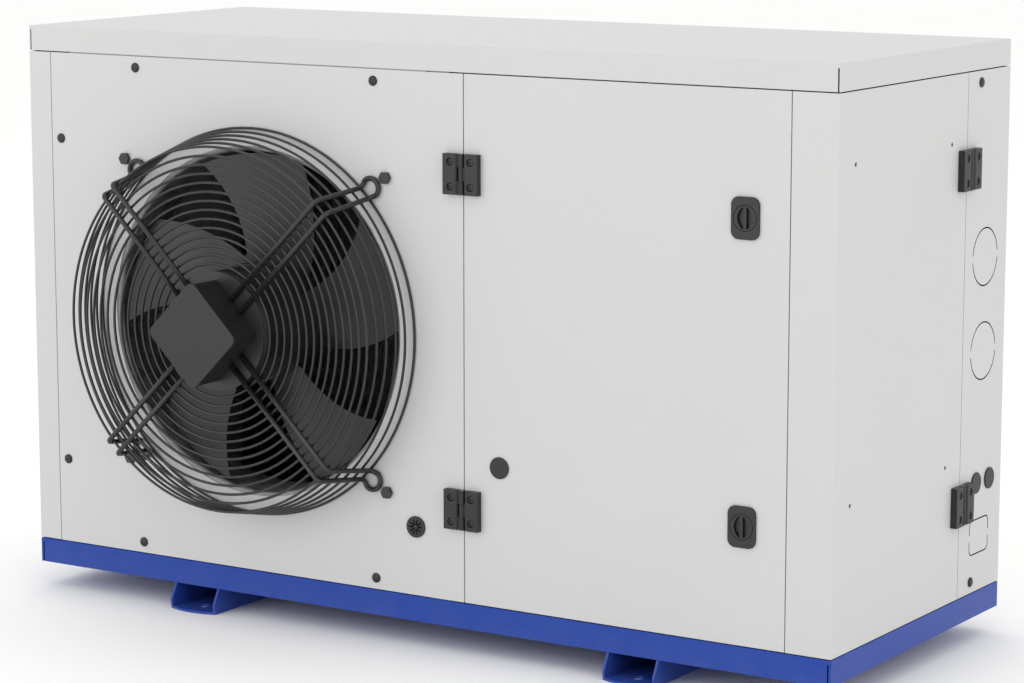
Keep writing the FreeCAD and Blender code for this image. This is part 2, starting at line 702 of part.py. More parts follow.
# Condenser coil
def make_coil():
    t = sheet_metal
    tall = roof - floor_top
    plates = []
    plates.append(profile_post("coil_left_plate", [
        (coil_left - t, coil_front), (coil_left, coil_front), (coil_left, inner_back),
        (coil_left - t, inner_back)], floor_top, tall, False))
    plates.append(profile_post("coil_right_plate", [
        (bulkhead, coil_front), (bulkhead + t, coil_front), (bulkhead + t, inner_back - t),
        (bulkhead + tab, inner_back - t), (bulkhead + tab, inner_back), (bulkhead, inner_back),
    ], floor_top, tall, False))
    group("coil_end_plates", plates)
    bottom = floor_top + coil_lift
    height = lid_bottom - coil_drop - bottom
    body = new_body("coil_fins")
    plan = new_sketch(body, "plan", "XY_Plane", bottom)
    rectangle(plan, coil_left, coil_front, bulkhead, coil_back)
    pad(body, plan, height)
    grooves = new_sketch(body, "grooves", "XY_Plane", bottom + height)
    for y0 in (coil_front - groove_depth, coil_back - groove_depth):
        x0 = coil_left + groove_pitch
        rectangle(grooves, x0, y0, x0 + groove_width, y0 + 2 * groove_depth)
    channel = pocket(body, grooves, height)
    pattern = body.newObject("PartDesign::LinearPattern", "coil_fin_grooves")
    pattern.Originals = [channel]
    pattern.Direction = (grooves, ["H_Axis"])
    pattern.Mode = "Spacing"
    bind(pattern, "Offset", groove_pitch)
    pattern.Occurrences = int((bulkhead.value - coil_left.value) / groove_pitch.value) - 1
    body.Tip = pattern
    keep(body)


def make_return_bends():
    """U-bends of the coil's tubes, outside the right end plate."""
    t = sheet_metal
    x0 = bulkhead + t
    y = coil_front + coil_depth / 2
    pieces = []
    first = floor_top + coil_lift + tube_pitch
    for i in range(int(return_bends.value)):
        z = first + 2 * i * tube_pitch
        points = [FreeCAD.Vector(*[as_size(v).value for v in p]) for p in (
            (x0, y, z), (x0 + tube_pitch, y, z), (x0 + tube_pitch, y, z + tube_pitch),
            (x0, y, z + tube_pitch))]
        bend = doc.addObject("Part::Feature", "return_bend_%d" % (i + 1))
        bend.Shape = swept(rounded_path(points, tube_pitch.value * 0.49), tube_radius.value, 6)
        pieces.append(bend)
    group("coil_return_bends", pieces)


# Fan, motor and guard
def make_nozzle():
    body = new_body("fan_nozzle", x=fan_x, z=fan_z)
    half = nozzle_plate / 2
    face = new_sketch(body, "face", "XZ_Plane", -(behind_panel + sheet_metal))
    rectangle(face, -half, -half, half, half)
    circle(face, 0, 0, throat + bell_lip)
    for i in (-1, 1):
        for j in (-1, 1):
            circle(face, i * bolt_across / 2, j * bolt_upright / 2, bolt_size / 2 + bolt_clearance)
    pad(body, face, sheet_metal)
    bell = new_sketch(body, "bell", "XY_Plane")
    y0, t = behind_panel, sheet_metal
    outline(bell, [
        (throat, y0 + nozzle_depth), (throat, y0 + bell_lip, bell_lip), (throat + bell_lip, y0),
        (throat + bell_lip, y0 + t, t - bell_lip), (throat + t, y0 + bell_lip),
        (throat + t, y0 + nozzle_depth)])
    revolve(body, bell)
    keep(body)


def make_fan_bolts():
    head = doc.addObject("Part::Prism", "bolt_head_shape")
    head.Polygon = 6
    bind(head, "Circumradius", bolt_head / root(3))
    bind(head, "Height", bolt_head_height)
    place(head, 0, 0, 0, (1, 0, 0), 90)
    shank_length = 2 * sheet_metal + bolt_size
    shank = cylinder("bolt_shank_shape", 0, 0, 0, bolt_size / 2, shank_length, "y")
    bolt = fuse("bolt_shape", head, shank)
    copies = [copy_of(bolt, "fan_bolt_%d" % (i + 1), x, front, z)
              for i, (x, z) in enumerate(fan_bolt_places())]
    group("fan_bolts", copies)


arm_front = front - guard_rise
plate_front = arm_front + arm_wire
stator_front = plate_front + plate_sheet
rotor_front = stator_front + stator_flange + rotor_gap


def make_motor():
    keep(cylinder("guard_centre_plate", fan_x, plate_front, fan_z, plate_radius, plate_sheet, "y"))
    stator = new_body("motor_stator", x=fan_x, z=fan_z)
    half = new_sketch(stator, "half", "XY_Plane")
    y1 = stator_front + stator_flange
    outline(half, [(0, stator_front), (stator_radius, stator_front), (stator_radius, y1),
                   (spindle, y1), (spindle, y1 + spindle_length), (0, y1 + spindle_length)])
    revolve(stator, half)
    keep(stator)
    rotor = new_body("fan_rotor", x=fan_x, z=fan_z)
    half = new_sketch(rotor, "half", "XY_Plane")
    c, y0, y1 = rotor_chamfer, rotor_front, rotor_front + rotor_length
    bore_end = stator_front + stator_flange + spindle_length + rotor_gap
    outline(half, [
        (spindle + running_gap, y0), (rotor_radius - c, y0), (rotor_radius, y0 + c),
        (rotor_radius, y1 - c), (rotor_radius - c, y1), (0, y1), (0, bore_end),
        (spindle + running_gap, bore_end)])
    revolve(rotor, half)
    keep(rotor)
    terminal = new_body("motor_box", x=fan_x, y=plate_front, z=fan_z, axis=(0, 1, 0), angle=45)
    square = new_sketch(terminal, "square", "XZ_Plane")
    rounded(square, as_size(0), as_size(0), box_side / 2, box_side / 2, box_corner)
    pad(terminal, square, box_height)
    keep(terminal)
    cover = new_body("motor_box_cover", x=fan_x, y=plate_front - box_height, z=fan_z,
                     axis=(0, 1, 0), angle=45)
    square = new_sketch(cover, "square", "XZ_Plane")
    side = box_side / 2 + box_lid_rim
    rounded(square, as_size(0), as_size(0), side, side, box_corner + box_lid_rim)
    pad(cover, square, box_lid)
    keep(cover)


# Where a blade's surface is drawn, in degrees round the axis, and its place along the axis
BLADE_STATIONS = ((-34, 0.56), (-14, 0.30), (6, 0.08), (26, -0.12), (46, -0.29), (66, -0.42))
BLADE_OUTLINE = {"root_low": -25, "root_high": 30, "tip_high": 60, "tip_low": 3}


def polar_point(radius, degrees):
    turn = math.radians(degrees)
    return radius * math.cos(turn), radius * math.sin(turn)


def make_blades():
    """Sickle blades: a screw-shaped strip cut to the blade's outline, repeated round a hub ring."""
    strip = new_body("fan_blade_strip")
    sections = []
    for index, (angle, share) in enumerate(BLADE_STATIONS):
        section = new_sketch(strip, "section_%d" % index, "XY_Plane")
        turn = FreeCAD.Rotation(FreeCAD.Vector(0, 1, 0), -angle)
        section.AttachmentOffset = FreeCAD.Placement(FreeCAD.Vector(0, 0, 0), turn)
        y = blade_middle + blade_rise * share
        rectangle(section, rotor_radius - 1, y - blade_sheet / 2, tip_radius * 1.05, y + blade_sheet / 2)
        sections.append(section)
    loft = strip.newObject("PartDesign::AdditiveLoft", "fan_blade_surface")
    loft.Profile = sections[0]
    loft.Sections = sections[1:]
    shape = new_body("fan_blade_outline")
    view = new_sketch(shape, "view", "XZ_Plane", -blade_rise * 1.5)
    inner = rotor_radius + running_gap + hub_wall / 2
    low, high = BLADE_OUTLINE["root_low"], BLADE_OUTLINE["root_high"]
    corners = [polar_point(inner, high) + (-inner,), polar_point(inner, low) + (blade_edge * 1.3,),
               polar_point(tip_radius, BLADE_OUTLINE["tip_low"]) + (tip_radius,),
               polar_point(tip_radius, BLADE_OUTLINE["tip_high"]) + (-blade_edge,)]
    outline(view, corners)
    pad(shape, view, blade_rise * 3)
    blade = doc.addObject("Part::MultiCommon", "fan_blade")
    blade.Shapes = [strip, shape]
    hub = new_body("fan_hub")
    ring = new_sketch(hub, "ring", "XY_Plane")
    start = rotor_radius + running_gap
    rectangle(ring, start, -hub_front, start + hub_wall, hub_length - hub_front)
    revolve(hub, ring)
    count = int(blade_count.value)
    copies = [copy_of(blade, "fan_blade_%d" % (i + 1), 0, 0, 0, (0, 1, 0), 360 * i / count)
              for i in range(count)]
    blades = fuse("fan_blades", hub, *copies)
    keep(place(blades, fan_x, front, fan_z), "fan_blades")


def make_guard():
    rings = []
    back_of_arms = arm_front + arm_wire
    flat_count = int(flat_rings.value)
    slope_count = int(slope_rings.value)
    for i in range(flat_count):
        radius = guard_inner + (guard_flat - guard_inner) * i / (flat_rings - 1)
        rings.append(make_ring("flat_ring_%d" % (i + 1), radius, back_of_arms))
    drop = guard_rise - arm_wire - ring_wire - 2 * seat_gap
    arm_drop = guard_rise - arm_wire - seat_gap
    for i in range(slope_count):
        fall = drop * (as_size(i + 1) / slope_rings)
        share = (fall + (arm_wire + ring_wire) / 2) / arm_drop
        radius = arm_bend - arm_offset + (guard_radius + arm_offset - arm_bend) * share
        rings.append(make_ring("slope_ring_%d" % (i + 1), radius, back_of_arms + fall))
    group("guard_rings", rings)
    arms = doc.addObject("Part::Feature", "guard_arms")
    arms.Shape = Part.Compound([arm_shape(angle) for angle in (45, 135, 225, 315)])
    place(arms, fan_x, front, fan_z)
    keep(arms, "guard_arms")


def make_ring(name, radius, y):
    outer = cylinder(name + "_outer", fan_x, y, fan_z, radius + ring_wire / 2, ring_wire, "y")
    inner = cylinder(name + "_inner", fan_x, y, fan_z, radius - ring_wire / 2, ring_wire, "y")
    return cut(name, outer, inner)


def rounded_path(points, radius):
    """Straight runs joined by tangent arcs."""
    edges = []
    start = points[0]
    for i in range(1, len(points) - 1):
        before = (points[i - 1] - points[i]).normalize()
        after = (points[i + 1] - points[i]).normalize()
        turn = math.pi - before.getAngle(after)
        if turn < 0.01:
            continue
        reach = radius * math.tan(turn / 2)
        begin, end = points[i] + before * reach, points[i] + after * reach
        middle_way = (before + after).normalize()
        middle = points[i] + middle_way * (radius / math.cos(turn / 2) - radius)
        edges.append(Part.LineSegment(start, begin).toShape())
        edges.append(Part.Arc(begin, middle, end).toShape())
        start = end
    edges.append(Part.LineSegment(start, points[-1]).toShape())
    return Part.Wire(edges)


def swept(path, radius, sides=0):
    """A bar along a path, round or with a given number of sides."""
    start = path.Edges[0].valueAt(path.Edges[0].FirstParameter)
    along = path.Edges[0].tangentAt(path.Edges[0].FirstParameter)
    ring = Part.Circle(start, along, radius)
    if sides:
        turn = ring.LastParameter / sides
        corners = [ring.value(turn * i) for i in range(sides)]
        section = Part.makePolygon(corners + corners[:1])
    else:
        section = Part.Wire(ring.toShape())
    return path.makePipeShell([section], True, False)


def arm_shape(angle):
    """One double-wire arm: two straight wires joined by an eye at the panel."""
    half = arm_pair.value / 2
    high = -(guard_rise.value - arm_wire.value / 2)
    low = -(arm_wire.value / 2 + seat_gap.value)
    start = box_side.value / 2 + arm_wire.value
    bend, knee, eye = arm_bend.value, (guard_radius + arm_offset).value, eye_reach.value
    one_wire = [FreeCAD.Vector(x, y, half) for x, y in (
        (start, high), (bend, high), (knee, low), (eye, low))]
    other_wire = [FreeCAD.Vector(p.x, p.y, -half) for p in reversed(one_wire)]
    edges = list(rounded_path(one_wire, arm_corner.value).Edges)
    edges.append(Part.Arc(one_wire[-1], FreeCAD.Vector(eye + half, low, 0), other_wire[0]).toShape())
    edges += rounded_path(other_wire, arm_corner.value).Edges
    shape = swept(Part.Wire(edges), arm_wire.value / 2, 6)
    shape.rotate(FreeCAD.Vector(0, 0, 0), FreeCAD.Vector(0, 1, 0), angle)
    return shape


# Hinges
def make_leaf(name, middle):
    """A leaf to the right of the hinge axis, with the outer knuckles or the middle one."""
    body = new_body(name)
    half = hinge_height / 2
    third = hinge_height / 6
    face = pin_height
    level = pin_height - leaf_thickness
    plan = new_sketch(body, "plan", "XY_Plane", -half)
    outline(plan, [(leaf_start, face), (leaf_start, level + leaf_bevel), (leaf_start + leaf_bevel, level),
                   (hinge_width / 2, level), (hinge_width / 2, face)])
    pad(body, plan, hinge_height)
    if middle:
        spans = [(-third + knuckle_gap, 2 * (third - knuckle_gap))]
    else:
        spans = [(-half, half - third), (third, half - third)]
    for number, (bottom, length) in enumerate(spans):
        web = new_sketch(body, "knuckle_%d" % number, "XY_Plane", bottom)
        circle(web, 0, 0, knuckle)
        pad(body, web, length)
        arm = new_sketch(body, "web_%d" % number, "XY_Plane", bottom)
        rectangle(arm, pin_radius, -pin_radius, leaf_start + leaf_bevel, knuckle - seat_gap)
        pad(body, arm, length)
    bore = new_sketch(body, "bore", "XY_Plane", half)
    circle(bore, 0, 0, pin_radius + running_gap)
    pocket(body, bore, hinge_height)
    holes = new_sketch(body, "holes", "XZ_Plane", -face)
    for sign in (-1, 1):
        circle(holes, hinge_screw_from_pin, sign * hinge_screw_spacing / 2,
               hinge_screw_head + running_gap)
    pocket(body, holes, leaf_thickness, backwards=True)
    return body


def make_hinges():
    outer = make_leaf("leaf_with_outer_knuckles", False)
    inner = make_leaf("leaf_with_middle_knuckle", True)
    half = hinge_height / 2
    pin = cylinder("hinge_pin_shape", 0, 0, 0, pin_radius, hinge_height)
    head = cylinder("hinge_screw_head_shape", 0, 0, 0, hinge_screw_head, hinge_screw_head / 2, "y")
    stem = cylinder("hinge_screw_stem_shape", 0, 0, 0, hinge_screw_radius,
                    leaf_thickness - hinge_screw_head / 2, "y")
    screw = fuse("hinge_screw_shape", head, stem)
    front_places = [(door_seam, front - pin_height, z, 0)
                    for z in (pan_top + door_hinge_low, lid_bottom - door_hinge_high)]
    side_places = [(right + pin_height, side_seam, z, 90)
                   for z in (pan_top + side_hinge_low, lid_bottom - side_hinge_high)]
    flip = FreeCAD.Rotation(FreeCAD.Vector(0, 1, 0), 180)
    fixed, pins, fixed_screws = [], [], []
    for number, (x, y, z, turn) in enumerate(front_places + side_places):
        name = "hinge_%d" % (number + 1)
        on_side = turn == 90
        turned = FreeCAD.Rotation(FreeCAD.Vector(0, 0, 1), turn)
        fixed_leaf = copy_of(outer, name + "_fixed_leaf", x, y, z)
        fixed_leaf.Placement.Rotation = turned if on_side else turned * flip
        fixed.append(fixed_leaf)
        pins.append(copy_of(pin, name + "_pin", x, y, z - half))
        fixed_screws += leaf_screws(screw, name + "_fixed", x, y, z, on_side, 1 if on_side else -1)
    group("fixed_hinge_leaves", fixed)
    group("hinge_pins", pins)
    group("fixed_hinge_screws", fixed_screws)
    for owner, places, on_side in (("door", front_places, False), ("side_door", side_places, True)):
        leaves, screws = [], []
        for number, (x, y, z, turn) in enumerate(places):
            name = "%s_hinge_%d" % (owner, number + 1)
            turned = FreeCAD.Rotation(FreeCAD.Vector(0, 0, 1), turn)
            leaf = copy_of(inner, name + "_leaf", x, y, z)
            leaf.Placement.Rotation = turned * flip if on_side else turned
            leaves.append(leaf)
            screws += leaf_screws(screw, name, x, y, z, on_side, -1 if on_side else 1)
        group(owner + "_hinge_leaves", leaves)
        group(owner + "_hinge_screws", screws)


def leaf_screws(screw, name, x, y, z, on_side, sign):
    """The two screws of one leaf, sunk in its face."""
    screws = []
    for end in (-1, 1):
        at_z = z + end * hinge_screw_spacing / 2
        label = "%s_screw_%s" % (name, "low" if end < 0 else "high")
        if on_side:
            link = copy_of(screw, label, x + leaf_thickness - pin_height,
                           y + sign * hinge_screw_from_pin, at_z)
            link.Placement.Rotation = FreeCAD.Rotation(FreeCAD.Vector(0, 0, 1), 90)
        else:
            link = copy_of(screw, label, x + sign * hinge_screw_from_pin,
                           y + pin_height - leaf_thickness, at_z)
        screws.append(link)
    return screws


# Front door and its latches
latch_x = return_seam - latch_from_edge
cam_front = post_front + post_sheet + cam_gap
barrel_radius = latch_bore + latch_wall


def make_door():
    body = new_body("door_panel")
    x0, x1 = door_seam + seam / 2, return_seam - seam / 2
    face = new_sketch(body, "face", "XZ_Plane", -behind_panel)
    rectangle(face, x0, panel_bottom, x1, panel_top)
    for z in (pan_top + latch_low, lid_bottom - latch_high):
        circle(face, latch_x, z, barrel_radius + seat_gap)
    circle(face, door_seam + plug_from_seam, pan_top + plug_up, plug_stem_radius + bolt_clearance)
    pad(body, face, sheet_metal)
    t = sheet_metal
    fold = new_sketch(body, "fold", "XZ_Plane", -(front + flange))
    rectangle(fold, x0, panel_bottom, x1, panel_top)
    rectangle(fold, x0 + t, panel_bottom + t, x1 - t, panel_top - t)
    pad(body, fold, flange - t)
    keep(body)
    seal = new_body("door_seal")
    ring = new_sketch(seal, "ring", "XZ_Plane", -(post_front - seat_gap))
    s, w = t + seal_inset, t + seal_inset + seal_width
    rectangle(ring, x0 + s, panel_bottom + s, x1 - s, panel_top - s)
    rectangle(ring, x0 + w, panel_bottom + w, x1 - w, panel_top - w)
    pad(seal, ring, flange + post_gap - seat_gap - t)
    keep(seal)


def make_latch(level, z):
    """A flush latch: housing, turning grip with its fin, and the cam behind it."""
    housing = new_body("latch_housing_" + level, x=latch_x, y=front, z=z)
    rim = new_sketch(housing, "rim", "XZ_Plane")
    rounded(rim, as_size(0), as_size(0), latch_width / 2, latch_height / 2, latch_corner)
    pad(housing, rim, latch_plate)
    barrel = new_sketch(housing, "barrel", "XZ_Plane")
    circle(barrel, 0, 0, barrel_radius)
    pad(housing, barrel, latch_body, backwards=True)
    bore = new_sketch(housing, "bore", "XZ_Plane", latch_plate)
    circle(bore, 0, 0, latch_bore)
    pocket(housing, bore, latch_plate + latch_body - latch_floor)
    hole = new_sketch(housing, "hole", "XZ_Plane", latch_plate)
    circle(hole, 0, 0, latch_spindle + running_gap)
    pocket(housing, hole, latch_plate + latch_body)
    keep(housing)
    grip = new_body("latch_grip_" + level, x=latch_x, y=front, z=z)
    disc = new_sketch(grip, "disc", "XZ_Plane", latch_plate)
    circle(disc, 0, 0, latch_bore - grip_gap)
    pad(grip, disc, latch_plate + latch_body - latch_floor - grip_gap, backwards=True)
    hollows = new_sketch(grip, "hollows", "XZ_Plane", latch_plate)
    fin, reach, deep = grip_fin / 2, grip_hollow_reach, grip_hollow_width
    lens = (reach * reach + deep * deep) / (2 * deep)
    outline(hollows, [(fin, -reach, lens), (fin, reach)])
    outline(hollows, [(-fin, reach, lens), (-fin, -reach)])
    pocket(grip, hollows, grip_hollow)
    stem = new_sketch(grip, "stem", "XZ_Plane", -(latch_body - latch_floor - grip_gap))
    circle(stem, 0, 0, latch_spindle)
    pad(grip, stem, cam_front + cam_thickness - front - (latch_body - latch_floor - grip_gap),
        backwards=True)
    keep(grip)
    cam = new_body("latch_cam_" + level, x=latch_x, y=cam_front + cam_thickness, z=z)
    bar = new_sketch(cam, "bar", "XZ_Plane")
    w, tip = cam_width / 2, latch_from_edge - post_cover + cam_overlap
    outline(bar, [(w, 0), (w, tip), (-w, tip), (-w, 0, w * 1.1)])
    pad(cam, bar, cam_thickness)
    eye = new_sketch(cam, "eye", "XZ_Plane", cam_thickness)
    circle(eye, 0, 0, latch_spindle + running_gap)
    pocket(cam, eye, cam_thickness)
    keep(cam)


# Side door
def make_side_door():
    t = sheet_metal
    x0, y1 = return_seam + seam / 2, side_seam - seam / 2
    body = profile_post("side_door_panel", [
        (x0, front + flange), (x0, front), (right, front), (right, y1), (right - flange, y1),
        (right - flange, y1 - t), (right - t, y1 - t), (right - t, front + t), (x0 + t, front + t),
        (x0 + t, front + flange)], panel_bottom, panel_top - panel_bottom)
    holes = new_sketch(body, "holes", "YZ_Plane", right)
    for y in (front + side_hole_front, side_seam - side_hole_rear):
        for z in (pan_top + side_hole_low, lid_bottom - side_hole_high):
            circle(holes, y, z, side_hole)
    pocket(body, holes, t)


# Caps, plugs and the vent insert
def make_plugs():
    cap = cone("screw_cap_shape", 0, 0, 0, cap_radius, cap_radius * 0.6, cap_height)
    x0, x1 = fan_seam + cap_inset, fan_x - cap_across / 2
    z0, z1 = panel_bottom + cap_inset - seam, panel_top - cap_inset + seam
    places = [(x0, z0 + cap_up - cap_inset), (x0, z1 - cap_up + cap_inset)]
    places += [(x, z) for x in (x1, x1 + cap_across) for z in (z0, z1)]
    caps = []
    for number, (x, z) in enumerate(places):
        caps.append(copy_of(cap, "front_cap_%d" % (number + 1), x, front, z, (1, 0, 0), 90))
    for number, z in enumerate((z0, z1)):
        y = side_seam + knockout_radius
        caps.append(copy_of(cap, "side_cap_%d" % (number + 1), right, y, z, (0, 1, 0), 90))
    group("screw_caps", caps)
    rim = cylinder("plug_rim_shape", 0, 0, -plug_height, plug_radius, plug_height)
    stem = cylinder("plug_stem_shape", 0, 0, 0, plug_stem_radius, plug_stem)
    plug = fuse("plug_shape", rim, stem)
    sides = [copy_of(plug, "side_plug_%d" % (i + 1), right, back - y, pan_top + side_plug_up, (0, 1, 0), -90)
             for i, y in enumerate((side_plug_front, side_plug_rear))]
    group("side_plugs", sides)
    group("door_plug", [copy_of(plug, "door_plug_copy", door_seam + plug_from_seam, front,
                                pan_top + plug_up, (1, 0, 0), -90)])
    vent = new_body("vent_insert", x=vent_x(), y=front, z=pan_top + vent_up)
    face = new_sketch(vent, "face", "XZ_Plane")
    circle(face, 0, 0, plug_radius)
    pad(vent, face, plug_height)
    stem = new_sketch(vent, "stem", "XZ_Plane")
    circle(stem, 0, 0, plug_stem_radius)
    pad(vent, stem, plug_stem, backwards=True)
    slot = new_sketch(vent, "slot", "XZ_Plane", plug_height)
    rectangle(slot, plug_stem_radius * 0.25, -slit / 2, plug_stem_radius * 0.85, slit / 2)
    opening = pocket(vent, slot, plug_height + plug_stem)
    pattern = vent.newObject("PartDesign::PolarPattern", "vent_slot_ring")
    pattern.Originals = [opening]
    pattern.Axis = (axis_of(vent, "Y_Axis"), [""])
    pattern.Angle = 360
    bind(pattern, "Occurrences", vent_slots)
    vent.Tip = pattern
    keep(vent)


# Compressor
receiver_x = bulkhead + receiver_from_bulkhead
receiver_y = back - receiver_from_back
compressor_x = receiver_x + receiver_radius + compressor_gap + compressor_radius
compressor_y = back - compressor_from_back
mount_z = floor_top + grommet_height
shell_z = mount_z + mount_sheet


def make_compressor():
    body = new_body("compressor_shell", x=compressor_x, y=compressor_y, z=shell_z)
    half = new_sketch(body, "half", "XZ_Plane")
    r, tall, s, w = compressor_radius, compressor_height, compressor_shoulder, weld_band
    seam_z = tall * 0.62
    outline(half, [
        (0, 0), (r - s, 0), (r, s), (r, seam_z - w), (r + w, seam_z), (r, seam_z + w),
        (r, tall - s), (r - s * 0.4, tall - s * 0.4), (r - s * 1.3, tall - w), (0, tall)])
    revolve(body, half)
    keep(body)
    plate = new_body("compressor_base", x=compressor_x, y=compressor_y, z=mount_z)
    face = new_sketch(plate, "face", "XY_Plane")
    rounded(face, as_size(0), as_size(0), mount_plate / 2, mount_plate / 2, grommet_radius)
    reach = mount_plate / 2 - grommet_inset
    for i in (-1, 1):
        for j in (-1, 1):
            circle(face, i * reach, j * reach, stud_radius + bolt_clearance)
    pad(plate, face, mount_sheet)
    keep(plate)
    rubbers, studs = [], []
    for i in (-1, 1):
        for j in (-1, 1):
            name = "%s_%s" % ("left" if i < 0 else "right", "front" if j < 0 else "rear")
            x, y = compressor_x + i * reach, compressor_y + j * reach
            outer = cylinder("rubber_" + name + "_outer", x, y, floor_top, grommet_radius, grommet_height)
            inner = cylinder("rubber_" + name + "_bore", x, y, floor_top,
                             stud_radius + bolt_clearance, grommet_height)
            rubbers.append(cut("rubber_" + name, outer, inner))
            studs.append(cylinder("stud_" + name, x, y, floor_top, stud_radius,
                                  grommet_height + mount_sheet + stud_above))
    group("compressor_grommets", rubbers)
    group("compressor_studs", studs)
    side = compressor_radius * 0.8
    cover_y = compressor_y - compressor_radius - side / 3
    cover = new_body("compressor_terminal_cover", x=compressor_x, y=cover_y, z=shell_z + compressor_height * 0.45)
    face = new_sketch(cover, "face", "XZ_Plane")
    rounded(face, as_size(0), as_size(0), side / 2, side / 2, latch_corner)
    pad(cover, face, side / 3 - seat_gap, backwards=True)
    keep(cover)


# Receiver, valves and pipes
valve_x = right - bracket_from_right
valve_y = back - knockout_from_back
suction_z = pan_top + knockout_high
liquid_z = pan_top + knockout_low


def make_receiver():
    body = new_body("liquid_receiver", x=receiver_x, y=receiver_y, z=floor_top)
    half = new_sketch(body, "half", "XZ_Plane")
    r, tall = receiver_radius, receiver_height
    skirt = r * 0.6
    outline(half, [
        (0, 0), (skirt, 0), (skirt, skirt / 2), (r - skirt / 4, skirt / 2), (r, skirt),
        (r, tall - skirt / 2), (r - skirt / 4, tall - skirt / 6), (skirt, tall), (0, tall)])
    revolve(body, half)
    keep(body)


def make_valves():
    """Two service valves on a bracket behind the knockouts."""
    t = post_sheet
    body = new_body("valve_bracket")
    side = new_sketch(body, "side", "YZ_Plane", valve_x - t)
    y0, y1 = valve_y - knockout_radius, valve_y + knockout_radius
    rectangle(side, y0, floor_top, y1, suction_z + knockout_radius)
    for z in (suction_z, liquid_z):
        circle(side, valve_y, z, valve_radius * 0.6 + bolt_clearance)
    pad(body, side, t)
    foot = new_sketch(body, "foot", "XY_Plane", floor_top)
    rectangle(foot, valve_x - t - flange, y0, valve_x, y1)
    pad(body, foot, t)
    keep(body)
    valves = []
    for name, z in (("suction", suction_z), ("liquid", liquid_z)):
        barrel = cylinder(name + "_barrel", valve_x, valve_y, z, valve_radius, valve_length / 2, "x")
        nose = cylinder(name + "_nose", valve_x + valve_length / 2, valve_y, z, valve_radius * 0.7,
                        valve_length / 4, "x")
        tail = cylinder(name + "_tail", valve_x - valve_length / 2, valve_y, z, valve_radius * 0.6,
                        valve_length / 2, "x")
        cap = cylinder(name + "_cap", valve_x + valve_length / 4, valve_y - valve_radius * 2, z,
                       valve_radius * 0.6, valve_radius * 2, "y")
        valves.append(fuse(name + "_valve", barrel, nose, tail, cap))
    group("service_valves", valves)


def pipe(name, radius, points):
    """A bent pipe through the given points, each a place in the unit."""
    path = [FreeCAD.Vector(*[as_size(v).value for v in p]) for p in points]
    obj = doc.addObject("Part::Feature", name)
    obj.Shape = swept(rounded_path(path, pipe_bend.value), radius.value)
    return obj


def make_pipes():
    tail_x = valve_x - valve_length / 2
    coil_y = coil_front + coil_depth / 2
    shell_top = shell_z + compressor_height
    elbow = 2 * pipe_bend
    head_z = shell_top + elbow
    pipes = [pipe("discharge_pipe", pipe_radius, [
        (compressor_x, compressor_y, shell_top), (compressor_x, compressor_y, head_z + elbow),
        (compressor_x, coil_y, head_z + elbow), (bulkhead + sheet_metal, coil_y, head_z + elbow)])]
    pipes.append(pipe("suction_pipe", suction_radius, [
        (tail_x, valve_y, suction_z), (compressor_x + compressor_radius * 0.5, valve_y, suction_z),
        (compressor_x + compressor_radius * 0.5, compressor_y, suction_z),
        (compressor_x + compressor_radius * 0.5, compressor_y, shell_top - weld_band * 0.6)]))
    drain_z = floor_top + coil_lift + tube_radius * 3
    pipes.append(pipe("liquid_pipe", pipe_radius, [
        (bulkhead + sheet_metal, coil_front + tube_radius * 2, drain_z),
        (bulkhead + elbow * 0.6, coil_front + tube_radius * 2, drain_z),
        (bulkhead + elbow * 0.6, receiver_y - receiver_radius * 2, drain_z)]))
    group("refrigerant_pipes", pipes)


def make_control_gear():
    x0 = bulkhead + sheet_metal
    y0 = front + control_from_front
    z0 = lid_bottom - control_below_lid - control_height
    keep(box("control_plate", x0, y0, z0, sheet_metal, control_width, control_height))
    x1 = x0 + sheet_metal
    third = control_width / 3
    base = box("contactor_base", x1, y0 + third / 4, z0 + control_height / 2, third, third, third * 1.5)
    head = box("contactor_head", x1 + third, y0 + third / 2, z0 + control_height / 2 + third / 4,
               third / 3, third / 2, third)
    keep(fuse("contactor", base, head), "contactor")
    blocks = []
    pitch = third / 4
    for i in range(8):
        blocks.append(box("terminal_%d" % (i + 1), x1, y0 + third / 4 + i * pitch, z0 + third / 3,
                          third / 2, pitch - seat_gap, third * 0.7))
    group("terminal_strip", blocks)
    keep(cylinder("fan_capacitor", x1 + third / 2.2, y0 + 2.4 * third, z0 + control_height / 2,
                  third / 2.2, third * 1.4), "fan_capacitor")


def main():
    make_base_pan()
    for node, side in (("foot_rail_left", -1), ("foot_rail_right", 1)):
        make_foot_rail(node, side * rail_spacing / 2)
    make_left_side_panel()
    make_fan_panel()
    make_rear_post_panel()
    make_rear_panel()
    make_lid()
    make_inner_frame()
    make_coil()
    make_return_bends()
    make_nozzle()
    make_fan_bolts()
    make_motor()
    make_blades()
    make_guard()
    make_hinges()
    make_door()
    make_latch("upper", lid_bottom - latch_high)
    make_latch("lower", pan_top + latch_low)
    make_side_door()
    make_plugs()
    make_compressor()
    make_receiver()
    make_valves()
    make_pipes()
    make_control_gear()
    doc.recompute()
    write_parts()


def write_parts():
    """Check every object and write each sub-part to its own file."""
    failed = [obj.Name for obj in doc.Objects
              if "Invalid" in obj.State or "Error" in obj.State]
    if failed:
        raise RuntimeError("failed objects: %s" % ", ".join(failed))
    for obj in sub_parts:
        if obj.Shape.isNull() or not obj.Shape.isValid() or not obj.Shape.Solids:
            raise RuntimeError("bad shape: %s" % obj.Label)
    os.makedirs("parts", exist_ok=True)
    for obj in sub_parts:
        obj.Shape.exportStep("parts/%s.step" % obj.Label)
    print("%d sub-parts" % len(sub_parts))


main()
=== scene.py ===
"""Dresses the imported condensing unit: sheet metal, wire guard, fins, fasteners, finishes and a studio."""

import json
import math

